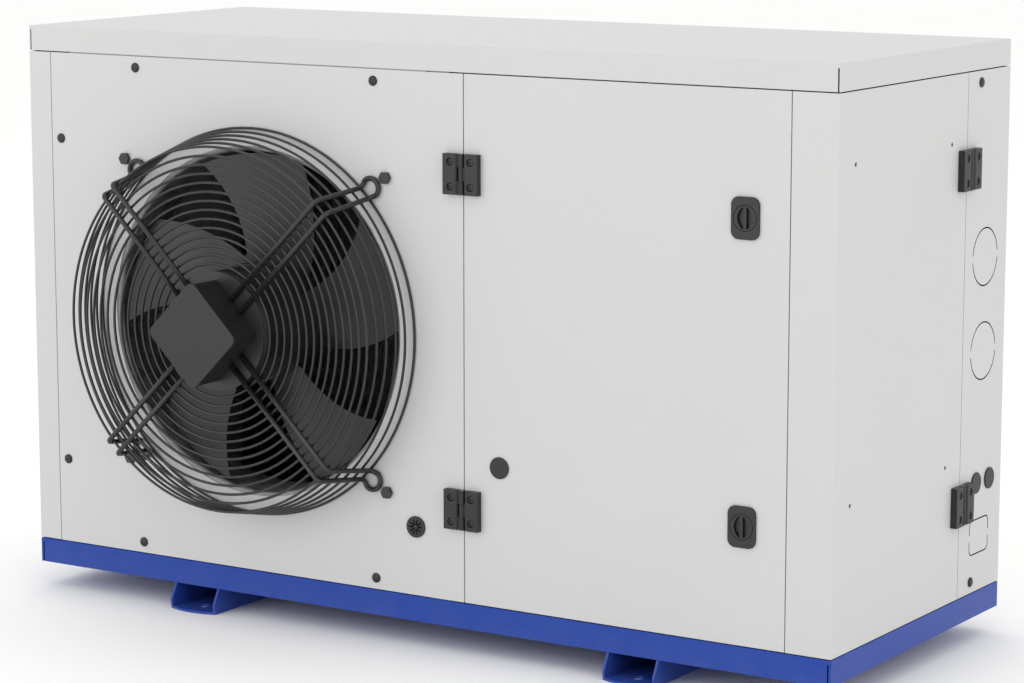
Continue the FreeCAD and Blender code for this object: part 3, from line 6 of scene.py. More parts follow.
import bmesh
import bpy
from bpy.props import FloatProperty, FloatVectorProperty, IntProperty, PointerProperty
from mathutils import Matrix, Vector

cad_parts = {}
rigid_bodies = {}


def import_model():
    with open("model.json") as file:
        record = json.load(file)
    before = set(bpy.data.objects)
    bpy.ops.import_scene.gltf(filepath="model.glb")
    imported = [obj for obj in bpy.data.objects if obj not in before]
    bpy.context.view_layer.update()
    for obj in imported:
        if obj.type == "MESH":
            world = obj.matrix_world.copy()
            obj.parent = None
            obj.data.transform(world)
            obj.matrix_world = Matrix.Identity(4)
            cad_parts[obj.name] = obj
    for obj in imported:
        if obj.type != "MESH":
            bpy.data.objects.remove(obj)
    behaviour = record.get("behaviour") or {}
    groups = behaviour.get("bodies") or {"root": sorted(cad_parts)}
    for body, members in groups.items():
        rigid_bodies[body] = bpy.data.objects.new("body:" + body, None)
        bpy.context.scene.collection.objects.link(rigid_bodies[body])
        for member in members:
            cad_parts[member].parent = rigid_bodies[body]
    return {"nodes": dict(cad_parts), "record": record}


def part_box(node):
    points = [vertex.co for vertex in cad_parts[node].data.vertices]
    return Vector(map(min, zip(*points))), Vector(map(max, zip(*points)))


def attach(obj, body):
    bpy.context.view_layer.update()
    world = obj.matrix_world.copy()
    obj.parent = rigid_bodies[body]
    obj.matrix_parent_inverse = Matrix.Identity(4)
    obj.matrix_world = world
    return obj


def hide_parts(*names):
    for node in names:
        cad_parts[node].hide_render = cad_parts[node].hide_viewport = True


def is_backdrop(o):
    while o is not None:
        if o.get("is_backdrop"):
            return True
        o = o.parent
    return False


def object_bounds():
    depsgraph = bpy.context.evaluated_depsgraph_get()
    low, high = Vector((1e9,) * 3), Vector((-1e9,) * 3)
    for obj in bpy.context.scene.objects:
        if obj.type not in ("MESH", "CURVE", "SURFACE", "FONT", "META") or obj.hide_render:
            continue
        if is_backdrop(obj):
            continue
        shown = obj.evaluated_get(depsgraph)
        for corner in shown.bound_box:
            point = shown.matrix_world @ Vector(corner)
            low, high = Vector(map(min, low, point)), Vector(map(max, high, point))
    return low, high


bl_info = {
    "name": "Condensing Unit Dresser",
    "version": (1, 0, 0),
    "blender": (4, 5, 0),
    "location": "View3D > Sidebar > Condensing Unit",
    "description": "Finishes, wire guard, coil fins and fasteners for a packaged condensing unit",
    "category": "Object",
}

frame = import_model()
NODES = frame["nodes"]
BODY_OF = {node: body for body, members in frame["record"]["behaviour"]["bodies"].items()
           for node in members}
SLOT_OF = {row["node"]: row["material_slot"] for row in frame["record"]["subparts"]}
MM = 0.001
SEAT_GAP = 0.3 * MM


def middle(node):
    low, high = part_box(node)
    return (low + high) / 2


def extent(node):
    low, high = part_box(node)
    return high - low


PANEL_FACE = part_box("fan_panel")[0].y
FAN_AXIS = middle("fan_rotor")
GUARD_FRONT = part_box("guard_arms")[0].y


# Node trees
class Wire:
    """A node's output that takes part in plain arithmetic."""

    def __init__(self, nodes, socket):
        self.nodes = nodes
        self.socket = socket

    def maths(self, operation, other, reverse=False):
        values = [self, other]
        if reverse:
            values.reverse()
        return self.nodes.add("ShaderNodeMath", {"operation": operation}, dict(enumerate(values)))

    def __add__(self, other):
        return self.maths("ADD", other)

    def __sub__(self, other):
        return self.maths("SUBTRACT", other)

    def __rsub__(self, other):
        return self.maths("SUBTRACT", other, reverse=True)

    def __mul__(self, other):
        return self.maths("MULTIPLY", other)

    def __truediv__(self, other):
        return self.maths("DIVIDE", other)

    def __pow__(self, other):
        return self.maths("POWER", other)


class Nodes:
    """A node tree, whose nodes are added by kind with their settings and what feeds their sockets."""

    def __init__(self, tree):
        self.tree = tree

    def feed(self, socket, value):
        if isinstance(value, Wire):
            self.tree.links.new(value.socket, socket)
        else:
            socket.default_value = value

    def add(self, kind, settings=None, sockets=None, output=0):
        node = self.tree.nodes.new(kind)
        for key, value in (settings or {}).items():
            setattr(node, key, value)
        for key, value in (sockets or {}).items():
            self.feed(node.inputs[key], value)
        return Wire(self, node.outputs[output])


# Finishes
class Finish(Nodes):
    """One material, built round its principled shader."""

    def __init__(self, name):
        self.material = bpy.data.materials.new(name)
        self.material.use_nodes = True
        super().__init__(self.material.node_tree)
        self.shader = next(n for n in self.tree.nodes if n.type == "BSDF_PRINCIPLED")
        self.place = self.add("ShaderNodeTexCoord", output="Object")

    def noise(self, scale, detail=3.0, stretch=(1, 1, 1)):
        where = self.add("ShaderNodeMapping", sockets={"Vector": self.place, "Scale": stretch})
        sockets = {"Vector": where, "Scale": scale, "Detail": detail}
        return self.add("ShaderNodeTexNoise", sockets=sockets)

    def mix(self, factor, one, other):
        """A blend of two colours. The mix node's colour sockets have no names of their own."""
        sockets = {0: factor, 6: one, 7: other}
        return self.add("ShaderNodeMix", {"data_type": "RGBA"}, sockets, 2)

    def height(self):
        """Height above the floor, in metres."""
        return self.add("ShaderNodeSeparateXYZ", sockets={"Vector": self.place}, output="Z")

    def bump(self, relief, distance):
        sockets = {"Height": relief, "Distance": distance}
        self.feed(self.shader.inputs["Normal"], self.add("ShaderNodeBump", sockets=sockets))

    def set(self, **values):
        for key, value in values.items():
            self.feed(self.shader.inputs[key.replace("_", " ").title()], value)


# Name of the face mark for the walls of cuts, which the powder coat paints near black as painted shade
SLIT_SHADE_MARK = "cut"


def rgb(colour, share=1.0):
    return tuple(min(1.0, c * share) for c in colour[:3]) + (1.0,)


def powder_coat(name, colour, roughness, relief):
    """Baked powder paint: faint orange peel, painted shade on the walls of cuts, and a trace of dust near
    the floor.
    """
    dust_height, dust_share, dust_tone = 0.08, 0.12, rgb((0.42, 0.40, 0.37))
    darkest, lightest, painted_slit_shade_tone = 0.97, 1.02, rgb((0.02, 0.02, 0.02))
    rough_spread, dust_roughness, shine = 0.08, 0.5, 0.3
    finish = Finish(name)
    cloud = finish.noise(3.0, 4.0)
    low = ((dust_height - finish.height()) / dust_height).maths("MAXIMUM", 0.0)
    dust = low * finish.noise(40.0, 5.0) * dust_share
    tone = finish.mix(cloud, rgb(colour, darkest), rgb(colour, lightest))
    # Painted shade: faces marked as walls of cuts are painted near black, standing in for the shade inside
    # the slits
    cut = finish.add("ShaderNodeAttribute", {"attribute_name": SLIT_SHADE_MARK}, output="Fac")
    tone = finish.mix(cut, tone, painted_slit_shade_tone)
    rough = cloud * rough_spread + dust * dust_roughness + (roughness - rough_spread / 2)
    finish.set(base_color=finish.mix(dust, tone, dust_tone), roughness=rough)
    orange_peel = finish.noise(620.0, 2.0)
    finish.bump(orange_peel, relief)
    finish.shader.inputs["Specular IOR Level"].default_value = shine
    return finish


def white_paint(colours):
    return powder_coat("white_powder_coat", colours.white, 0.40, 0.00004)


def blue_paint(colours):
    return powder_coat("blue_powder_coat", colours.blue, 0.34, 0.00005)


def bare_metal(finish, cloud, smoothest, spread, one, other, power=1.0):
    """Metal whose roughness follows a cloud, and whose colour follows a power of it between two."""
    blend = cloud if power == 1.0 else cloud ** power
    finish.set(base_color=finish.mix(blend, rgb(one), rgb(other)),
               roughness=cloud * spread + smoothest, metallic=1.0)
    return finish


def galvanised_sheet(colours):
    """Zinc flowers: flat crystals of slightly different brightness."""
    finish = Finish("galvanised_sheet")
    flowers = {"Vector": finish.place, "Scale": 90.0}
    cells = finish.add("ShaderNodeTexVoronoi", sockets=flowers, output="Color")
    grey = finish.add("ShaderNodeRGBToBW", sockets={"Color": cells})
    # The zinc tones are kept darker than bare zinc: painted shade, so that the fan nozzle's inner wall
    # reads as in shade
    return bare_metal(finish, grey, 0.46, 0.18, (0.24, 0.25, 0.26), (0.35, 0.36, 0.37))


def coil_aluminium(colours):
    finish = Finish("fin_aluminium")
    streak = finish.noise(30.0, stretch=(1, 1, 0.1))
    return bare_metal(finish, streak, 0.38, 0.15, (0.50, 0.51, 0.52), (0.68, 0.69, 0.70))


def copper(colours):
    finish = Finish("copper_tube")
    stain = finish.noise(60.0, 5.0)
    return bare_metal(finish, stain, 0.22, 0.25, (0.80, 0.42, 0.27), (0.36, 0.17, 0.10), power=2.0)


def zinc_steel(colours):
    finish = Finish("zinc_plate")
    return bare_metal(finish, finish.noise(180.0), 0.3, 0.15, (0.42, 0.42, 0.41), (0.60, 0.60, 0.58))


def brass(colours):
    finish = Finish("brass_body")
    return bare_metal(finish, finish.noise(90.0), 0.25, 0.2, (0.62, 0.45, 0.18), (0.78, 0.60, 0.28))


def coated(name, colour, roughness, relief=0.00003, scale=500.0):
    """A dark coating or plastic with a fine grain."""
    darkest, lightest, rough_spread = 0.85, 1.2, 0.12
    finish = Finish(name)
    cloud = finish.noise(25.0, 4.0)
    finish.set(base_color=finish.mix(cloud, rgb(colour, darkest), rgb(colour, lightest)),
               roughness=cloud * rough_spread + (roughness - rough_spread / 2))
    grain = finish.noise(scale, 2.0)
    finish.bump(grain, relief)
    return finish


def black_wire(colours):
    return coated("black_wire_coating", colours.wire, 0.36)


def black_fan_paint(colours):
    return coated("black_fan_paint", rgb(colours.wire, 1.4), 0.33)


def black_plastic(colours):
    return coated("black_plastic", colours.plastic, 0.46, 0.00005, 900.0)


def grey_plastic(colours):
    return coated("grey_plastic", (0.32, 0.33, 0.33), 0.5)


def black_rubber(colours):
    return coated("black_rubber", (0.018, 0.018, 0.018), 0.75, 0.00008, 700.0)


FINISHES = {maker.__name__: maker for maker in (
    white_paint, blue_paint, galvanised_sheet, coil_aluminium, copper, black_wire, black_fan_paint,
    black_plastic, grey_plastic, black_rubber, zinc_steel, brass)}
made = {}


def finish_for(slot):
    if slot not in made:
        made[slot] = FINISHES[slot](bpy.context.scene.unit_colours).material
    return made[slot]


# Meshes
SAME_POINT = 5e-6
SAME_PLANE = math.radians(0.5)
SHARP_EDGE = math.radians(32)
FLAT_FACE_WEIGHT = 90


def new_piece(name, mesh, slot, body, *replaced):
    """A finished piece in the row frame, on its body, in place of CAD nodes."""
    mesh.materials.clear()
    mesh.materials.append(finish_for(slot))
    piece = bpy.data.objects.new(name, mesh)
    bpy.context.scene.collection.objects.link(piece)
    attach(piece, body)
    if replaced:
        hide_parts(*replaced)
    return piece


def merged(node):
    """A copy of a CAD node's mesh with its faces joined."""
    mesh = NODES[node].data.copy()
    work = bmesh.new()
    work.from_mesh(mesh)
    bmesh.ops.remove_doubles(work, verts=work.verts, dist=SAME_POINT)
    bmesh.ops.dissolve_limit(work, angle_limit=SAME_PLANE, verts=work.verts, edges=work.edges)
    for face in work.faces:
        face.smooth = True
    work.to_mesh(mesh)
    work.free()
    return mesh


def soften(piece, width, segments):
    """Rounded edges, with flat faces kept flat in the shading."""
    if width:
        bevel = piece.modifiers.new("worn_edges", "BEVEL")
        bevel.width = width
        bevel.segments = segments
        bevel.limit_method = "ANGLE"
        bevel.angle_limit = SHARP_EDGE
    normals = piece.modifiers.new("flat_faces", "WEIGHTED_NORMAL")
    normals.keep_sharp = True
    normals.weight = FLAT_FACE_WEIGHT


def dress(node, width, segments=2, mesh=None):
    """A piece from a node's merged or given mesh, with rounded edges and its slot's finish."""
    piece = new_piece(node + "_finished", mesh or merged(node), SLOT_OF[node], BODY_OF[node], node)
    soften(piece, width, segments)


def islands(node):
    """The middle and size of each separate solid of a node."""
    work = bmesh.new()
    work.from_mesh(merged(node))
    seen, found = set(), []
    for start in work.verts:
        if start in seen:
            continue
        stack, group = [start], []
        seen.add(start)
        while stack:
            vertex = stack.pop()
            group.append(vertex.co.copy())
            for edge in vertex.link_edges:
                other = edge.other_vert(vertex)
                if other not in seen:
                    seen.add(other)
                    stack.append(other)
        low = Vector([min(p[i] for p in group) for i in range(3)])
        high = Vector([max(p[i] for p in group) for i in range(3)])
        found.append(((low + high) / 2, high - low))
    work.free()
    return found


def round_steps(steps):
    """Cosine and sine at even steps of one full turn."""
    return [(math.cos(a), math.sin(a)) for a in (2 * math.pi * i / steps for i in range(steps))]


def band(work, lower, upper):
    """Faces between two closed rows of points, one of which may be a single point."""
    steps = max(len(lower), len(upper))
    for i in range(steps):
        j = (i + 1) % steps
        corners = dict.fromkeys((lower[i % len(lower)], lower[j % len(lower)],
                                 upper[j % len(upper)], upper[i % len(upper)]))
        work.faces.new(list(corners))


def to_mesh(work, name, smooth=False):
    """The mesh of a bmesh, which is then let go."""
    mesh = bpy.data.meshes.new(name)
    work.to_mesh(mesh)
    work.free()
    if smooth:
        mesh.shade_smooth()
    return mesh


def turned(profile, steps):
    """A mesh turned about Z from (radius, height) points that start and end on the axis."""
    work = bmesh.new()
    rings = []
    for radius, height in profile:
        spots = round_steps(steps) if radius else [(0, 0)]
        rings.append([work.verts.new((radius * x, radius * y, height)) for x, y in spots])
    for lower, upper in zip(rings, rings[1:]):
        band(work, lower, upper)
    bmesh.ops.recalc_face_normals(work, faces=work.faces)
    return to_mesh(work, "turned", smooth=True)


def rounded_path(points, radius, steps=6):
    """The points of a path whose corners are turned by short arcs."""
    path = [Vector(points[0])]
    for before, corner, after in zip(points, points[1:], points[2:]):
        corner = Vector(corner)
        back, onward = (Vector(before) - corner).normalized(), (Vector(after) - corner).normalized()
        bend = math.pi - back.angle(onward)
        reach = radius * math.tan(bend / 2)
        start, end = corner + back * reach, corner + onward * reach
        centre = corner + (back + onward).normalized() * (radius / math.cos(bend / 2))
        for step in range(steps + 1):
            arm = (start - centre).normalized().slerp((end - centre).normalized(), step / steps)
            path.append(centre + arm * (start - centre).length)
    path.append(Vector(points[-1]))
    return path


def swept(path, radius, sides):
    """A round bar along a path, with closed ends."""
    work = bmesh.new()
    tangent = (path[1] - path[0]).normalized()
    side = tangent.orthogonal().normalized()
    rings = []
    for index, point in enumerate(path):
        ahead = path[min(index + 1, len(path) - 1)] - path[max(index - 1, 0)]
        ahead.normalize()
        side = (side - ahead * side.dot(ahead)).normalized()
        other = ahead.cross(side)
        rings.append([work.verts.new(point + (side * x + other * y) * radius)
                      for x, y in round_steps(sides)])
    for lower, upper in zip(rings, rings[1:]):
        band(work, lower, upper)
    work.faces.new(list(reversed(rings[0])))
    work.faces.new(rings[-1])
    bmesh.ops.recalc_face_normals(work, faces=work.faces)
    return to_mesh(work, "swept", smooth=True)


def joined(meshes):
    """Several meshes as one. Each entry is a mesh and its place."""
    work = bmesh.new()
    for mesh, place in meshes:
        part = mesh.copy()
        part.transform(place)
        work.from_mesh(part)
        bpy.data.meshes.remove(part)
    return to_mesh(work, "joined")


def block(size, place):
    """A box of one size about one place."""
    work = bmesh.new()
    bmesh.ops.create_cube(work, size=1.0)
    bmesh.ops.scale(work, vec=Vector(size), verts=work.verts)
    bmesh.ops.translate(work, vec=Vector(place), verts=work.verts)
    return to_mesh(work, "block")


def prism(points, sweep):
    """A flat outline drawn out along one vector."""
    work = bmesh.new()
    near = [work.verts.new(point) for point in points]
    far = [work.verts.new(Vector(point) + Vector(sweep)) for point in points]
    band(work, near, far)
    work.faces.new(list(reversed(near)))
    work.faces.new(far)
    bmesh.ops.recalc_face_normals(work, faces=work.faces)
    return to_mesh(work, "prism")


def carved(mesh, cutters):
    """A mesh with other meshes cut out of it."""
    body = bpy.data.objects.new("carving", mesh)
    bpy.context.scene.collection.objects.link(body)
    helpers = [body]
    for cutter in cutters:
        tool = bpy.data.objects.new("cutter", cutter)
        bpy.context.scene.collection.objects.link(tool)
        helpers.append(tool)
        step = body.modifiers.new("cut", "BOOLEAN")
        step.operation = "DIFFERENCE"
        step.solver = "EXACT"
        step.object = tool
    graph = bpy.context.evaluated_depsgraph_get()
    result = bpy.data.meshes.new_from_object(body.evaluated_get(graph))
    for helper in helpers:
        bpy.data.objects.remove(helper)
    return result


# Patterns
class Pattern(Nodes):
    """A geometry node tree with named inputs, run once and made a plain mesh."""

    KINDS = {int: "NodeSocketInt", float: "NodeSocketFloat", bpy.types.Object: "NodeSocketObject",
             bpy.types.Material: "NodeSocketMaterial"}

    def __init__(self, name, **inputs):
        super().__init__(bpy.data.node_groups.new(name, "GeometryNodeTree"))
        self.values = inputs
        self.tree.interface.new_socket("Geometry", in_out="INPUT", socket_type="NodeSocketGeometry")
        self.tree.interface.new_socket("Geometry", in_out="OUTPUT", socket_type="NodeSocketGeometry")
        self.ids = {}
        for key, value in inputs.items():
            kind = next(socket for cls, socket in self.KINDS.items() if isinstance(value, cls))
            item = self.tree.interface.new_socket(key, in_out="INPUT", socket_type=kind)
            self.ids[key] = item.identifier
        self.start = self.tree.nodes.new("NodeGroupInput")
        self.end = self.tree.nodes.new("NodeGroupOutput")

    def __getitem__(self, key):
        return Wire(self, self.start.outputs[key])

    def close(self, geometry, material):
        """Ends the tree with its geometry made real and painted."""
        solid = self.add("GeometryNodeRealizeInstances", sockets={"Geometry": geometry})
        paint = {"Geometry": solid, "Material": material}
        self.feed(self.end.inputs["Geometry"], self.add("GeometryNodeSetMaterial", sockets=paint))

    def run(self, mesh=None):
        mesh = mesh or bpy.data.meshes.new("seed")
        holder = bpy.data.objects.new("pattern", mesh)
        bpy.context.scene.collection.objects.link(holder)
        modifier = holder.modifiers.new("pattern", "NODES")
        modifier.node_group = self.tree
        for key, value in self.values.items():
            modifier[self.ids[key]] = value
        graph = bpy.context.evaluated_depsgraph_get()
        result = bpy.data.meshes.new_from_object(holder.evaluated_get(graph))
        holder.modifiers.remove(modifier)
        bpy.data.objects.remove(holder)
        return result


def repeated(mesh, places, slot):
    """Copies of one small mesh, whose own +Z faces each place's second vector."""
    seeds = bpy.data.meshes.new("places")
    seeds.from_pydata([p for p, _ in places], [], [])
    facing = seeds.attributes.new("facing", "FLOAT_VECTOR", "POINT")
    facing.data.foreach_set("vector", [v for _, way in places for v in way])
    original = bpy.data.objects.new("original", mesh)
    bpy.context.scene.collection.objects.link(original)
    pattern = Pattern("repeated", Piece=original, Finish=finish_for(slot))
    shape = pattern.add("GeometryNodeObjectInfo", sockets={"Object": pattern["Piece"]},
                        output="Geometry")
    way = pattern.add("GeometryNodeInputNamedAttribute", {"data_type": "FLOAT_VECTOR"},
                      {"Name": "facing"})
    turn = pattern.add("FunctionNodeAlignRotationToVector", {"axis": "Z"}, {"Vector": way})
    copies = pattern.add("GeometryNodeInstanceOnPoints", sockets={
        "Points": pattern["Geometry"], "Instance": shape, "Rotation": turn})
    pattern.close(copies, pattern["Finish"])
    result = pattern.run(seeds)
    bpy.data.objects.remove(original)
    return result


# Settings
class UnitColours(bpy.types.PropertyGroup):
    white: FloatVectorProperty(name="White", description="Colour of the painted panels",
                               subtype="COLOR", default=(0.54, 0.54, 0.538), min=0, max=1)
    blue: FloatVectorProperty(name="Blue", description="Colour of the base pan and feet",
                              subtype="COLOR", default=(0.003, 0.040, 0.30), min=0, max=1)
    wire: FloatVectorProperty(name="Wire", description="Colour of the guard and fan",
                              subtype="COLOR", default=(0.013, 0.013, 0.0135), min=0, max=1)
    plastic: FloatVectorProperty(name="Plastic", description="Colour of hinges, latches and plugs",
                                 subtype="COLOR", default=(0.009, 0.009, 0.0095), min=0, max=1)


class GuardSizes(bpy.types.PropertyGroup):
    flat_rings: IntProperty(name="Flat rings", description="Rings on the flat front", default=14, min=3)
    slope_rings: IntProperty(name="Sloping rings", description="Rings on the sloping side", default=5,
                             min=1)
    inner: FloatProperty(name="First ring", description="Radius of the first ring", default=0.078,
                         unit="LENGTH")
    flat: FloatProperty(name="Flat radius", description="Radius of the last flat ring", default=0.2135,
                        unit="LENGTH")
    rim: FloatProperty(name="Rim", description="Radius of the last ring, at the panel", default=0.229,
                       unit="LENGTH")
    ring_wire: FloatProperty(name="Ring wire", description="Diameter of the ring wire", default=0.0032,
                             unit="LENGTH")
    arm_wire: FloatProperty(name="Arm wire", description="Diameter of the arm wire", default=0.006,
                            unit="LENGTH")
    arm_pair: FloatProperty(name="Arm pair", description="Distance between an arm's two wires",
                            default=0.019, unit="LENGTH")
    eye: FloatProperty(name="Eye", description="Radius of the eye at an arm's end", default=0.0112,
                       unit="LENGTH")


class FanSizes(bpy.types.PropertyGroup):
    blades: IntProperty(name="Blades", description="Number of blades", default=5, min=2)
    root: FloatProperty(name="Root", description="Radius where the cut of a blade's edge starts",
                        default=0.080, unit="LENGTH")
    root_turn: FloatProperty(name="Root angle", description="Angle of a blade's edge at the hub",
                             default=31.0)
    tip_turn: FloatProperty(name="Tip angle", description="Angle of a blade's edge at the tip",
                            default=43.0)
    edge: FloatProperty(name="Edge", description="Radius of a blade's hollow edge", default=0.150,
                        unit="LENGTH")


class CoilSizes(bpy.types.PropertyGroup):
    pitch: FloatProperty(name="Fin pitch", description="Distance between fins", default=0.0028,
                         unit="LENGTH")
    thickness: FloatProperty(name="Fin thickness", description="Thickness of a fin", default=0.0003,
                             unit="LENGTH")
    waves: IntProperty(name="Waves", description="Waves of a fin from front to back", default=4, min=1)
    swing: FloatProperty(name="Swing", description="Height of a fin's waves", default=0.0010,
                         unit="LENGTH")
    tube_rows: IntProperty(name="Tube rows", description="Tubes from bottom to top", default=24, min=2)
    tube: FloatProperty(name="Tube radius", description="Radius of the tubes", default=0.0048,
                        unit="LENGTH")


class StudioSettings(bpy.types.PropertyGroup):
    floor: FloatVectorProperty(name="Floor", description="Colour of the floor", subtype="COLOR",
                               default=(0.93, 0.93, 0.92), min=0, max=1)
    key: FloatProperty(name="Key light", description="Power of the key light", default=42.0,
                       unit="POWER")
    fill: FloatProperty(name="Fill light", description="Power of the fill light", default=26.0,
                        unit="POWER")
    sky: FloatProperty(name="Sky", description="Strength of the surrounding light", default=1.05)


# Pieces
class UNIT_OT_cabinet(bpy.types.Operator):
    """Finish the painted panels, the base and the inner sheet metal"""

    bl_idname = "unit.cabinet"
    bl_label = "Cabinet"

    def execute(self, context):
        for node in ("lid", "base_pan", "foot_rail_left", "foot_rail_right"):
            dress(node, 0.0007, segments=3)
        for node in ("fan_panel", "left_side_panel", "rear_panel", "door_panel", "side_door_panel"):
            dress(node, 0.0004)
        dress("rear_post_panel", 0.0003, mesh=with_painted_slit_shade("rear_post_panel", 8 * MM))
        for node in ("bulkhead", "front_post", "fan_head_rail", "door_head_rail", "valve_bracket",
                     "control_plate", "coil_end_plates"):
            dress(node, 0.0003)
        dress("fan_nozzle", 0.0002)
        dress("door_seal", 0.0012, segments=3)
        return {"FINISHED"}


def with_painted_slit_shade(node, inset):
    """A side panel's mesh, with the walls of the cuts through its right face marked for painted shade."""
    mesh = merged(node)
    low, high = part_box(node)
    # Faces marked here are painted near black by the powder coat: painted shade inside the slits
    marks = mesh.attributes.new(SLIT_SHADE_MARK, "FLOAT", "FACE")
    for face in mesh.polygons:
        off_the_rim = all(low[i] + inset < face.center[i] < high[i] - inset for i in (1, 2))
        wall = abs(face.normal.x) < 0.5
        if off_the_rim and wall and face.center.x > high.x - inset:
            marks.data[face.index].value = 1.0
    return mesh


class UNIT_OT_guard(bpy.types.Operator):
    """Make the wire guard: rings by rule, and four double arms with eyes"""

    bl_idname = "unit.guard"
    bl_label = "Fan guard"

    def execute(self, context):
        sizes = context.scene.unit_guard
        ring_y = GUARD_FRONT + sizes.arm_wire + sizes.ring_wire / 2
        drop = PANEL_FACE - sizes.ring_wire / 2 - SEAT_GAP - ring_y
        rings = guard_rings(sizes, ring_y, drop)
        new_piece("guard_ring_wires", rings, "black_wire", "cabinet", "guard_rings")
        arm, axis = guard_arm(sizes), Matrix.Translation(FAN_AXIS)
        arms = [(arm, axis @ Matrix.Rotation(math.radians(turn), 4, "Y"))
                for turn in (45, 135, 225, 315)]
        new_piece("guard_arm_wires", joined(arms), "black_wire", "cabinet", "guard_arms")
        dress("guard_centre_plate", 0.0004)
        return {"FINISHED"}


def guard_rings(sizes, ring_y, drop):
    """Rings that grow by even steps on the flat front, then by even steps down to the panel."""
    hoop_steps, wire_sides = 128, 8
    pattern = Pattern("guard_rings", Flat=sizes.flat_rings, Slope=sizes.slope_rings,
                      Inner=sizes.inner, Edge=sizes.flat, Outer=sizes.rim, Drop=drop,
                      Wire=sizes.ring_wire / 2, Finish=finish_for("black_wire"))
    line = pattern.add("GeometryNodeMeshLine", sockets={"Count": pattern["Flat"] + pattern["Slope"]})
    index = pattern.add("GeometryNodeInputIndex")
    last = pattern["Flat"] - 1.0
    share = index.maths("MINIMUM", last) / last
    fall = (index - last).maths("MAXIMUM", 0.0) / pattern["Slope"]
    flat_reach = share * (pattern["Edge"] - pattern["Inner"])
    slope_reach = fall * (pattern["Outer"] - pattern["Edge"])
    radius = pattern["Inner"] + (flat_reach + slope_reach)
    depth = fall * pattern["Drop"] + ring_y
    place = {"X": FAN_AXIS.x, "Y": depth, "Z": FAN_AXIS.z}
    spot = pattern.add("ShaderNodeCombineXYZ", sockets=place)
    points = pattern.add("GeometryNodeSetPosition", sockets={"Geometry": line, "Position": spot})
    hoop = pattern.add("GeometryNodeCurvePrimitiveCircle", {"mode": "RADIUS"},
                       {"Resolution": hoop_steps, "Radius": 1.0})
    size = pattern.add("ShaderNodeCombineXYZ", sockets={"X": radius, "Y": radius, "Z": radius})
    hoops = pattern.add("GeometryNodeInstanceOnPoints", sockets={
        "Points": points, "Instance": hoop, "Rotation": (math.pi / 2, 0, 0), "Scale": size})
    curves = pattern.add("GeometryNodeRealizeInstances", sockets={"Geometry": hoops})
    even = pattern.add("GeometryNodeSetCurveRadius", sockets={"Curve": curves, "Radius": 1.0})
    section = pattern.add("GeometryNodeCurvePrimitiveCircle", {"mode": "RADIUS"},
                          {"Resolution": wire_sides, "Radius": pattern["Wire"]})
    wires = pattern.add("GeometryNodeCurveToMesh", sockets={"Curve": even, "Profile Curve": section})
    smooth = pattern.add("GeometryNodeSetShadeSmooth", sockets={"Geometry": wires})
    pattern.close(smooth, pattern["Finish"])
    return pattern.run()


def guard_arm(sizes):
    """One arm along +X from the fan axis: two wires, bent down to the panel and joined by an eye."""
    box_gap, past_flat, past_rim, eye_reach, neck_in = 3 * MM, 4.5 * MM, 3.3 * MM, 8 * MM, 1.5 * MM
    corner, eye_steps = 7 * MM, 16
    high = GUARD_FRONT + sizes.arm_wire / 2 - FAN_AXIS.y
    low = PANEL_FACE - sizes.arm_wire / 2 - SEAT_GAP - FAN_AXIS.y
    half = sizes.arm_pair / 2
    start = extent("motor_box").x / 2 / math.sqrt(2) + box_gap
    bend, knee = sizes.flat + past_flat, sizes.rim + past_rim
    eye_middle = knee + eye_reach
    wire = [(start, high, half), (bend, high, half), (knee, low, half - neck_in),
            (eye_middle, low, sizes.eye)]
    path = rounded_path(wire, corner)[:-1]
    eye = [Vector((eye_middle + sizes.eye * math.sin(a), low, sizes.eye * math.cos(a)))
           for a in (math.pi * i / eye_steps for i in range(eye_steps + 1))]
    back = [Vector((p.x, p.y, -p.z)) for p in reversed(path)]
    return swept(path + eye + back, sizes.arm_wire / 2, sides=12)


class UNIT_OT_fan(bpy.types.Operator):
    """Finish the fan, its motor and the motor's terminal box"""

    bl_idname = "unit.fan"
    bl_label = "Fan and motor"

    def execute(self, context):
        dress("fan_blades", 0.0005, mesh=narrow_blades(context.scene.unit_fan))
        dress("fan_rotor", 0.0006)
        dress("motor_stator", 0.0006)
        dress("motor_box", 0.001, segments=3)
        dress("motor_box_cover", 0.0012, segments=3)
        return {"FINISHED"}


def polar(radius, degrees):
    """A point at an angle round the fan axis, with its Y left at zero."""
    turn = math.radians(degrees)
    return Vector((FAN_AXIS.x + radius * math.cos(turn), 0, FAN_AXIS.z + radius * math.sin(turn)))


def narrow_blades(sizes):
    """The blades, with the hollow edge of each cut back to a narrower tip."""
    beyond, arc_steps, root_room, tip_room = 10 * MM, 12, 5, 23
    low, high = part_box("fan_blades")
    tip = (high.x - low.x) / 2 + beyond
    cutters = []
    for i in range(sizes.blades):
        root_turn = 360 * i / sizes.blades + sizes.root_turn
        tip_turn = 360 * i / sizes.blades + sizes.tip_turn
        outer, inner = polar(tip, tip_turn), polar(sizes.root, root_turn)
        chord = inner - outer
        side = Vector((chord.z, 0, -chord.x)).normalized()
        centre = (outer + inner) / 2 + side * math.sqrt(sizes.edge ** 2 - (chord.length / 2) ** 2)
        arc = [centre + (outer - centre).lerp(inner - centre, k / arc_steps).normalized() * sizes.edge
               for k in range(arc_steps + 1)]
        far = [polar(sizes.root, root_turn + root_room), polar(tip, tip_turn + tip_room)]
        outline = [Vector((p.x, low.y - beyond, p.z)) for p in arc + far]
        cutters.append(prism(outline, (0, high.y - low.y + 2 * beyond, 0)))
    return carved(merged("fan_blades"), cutters)


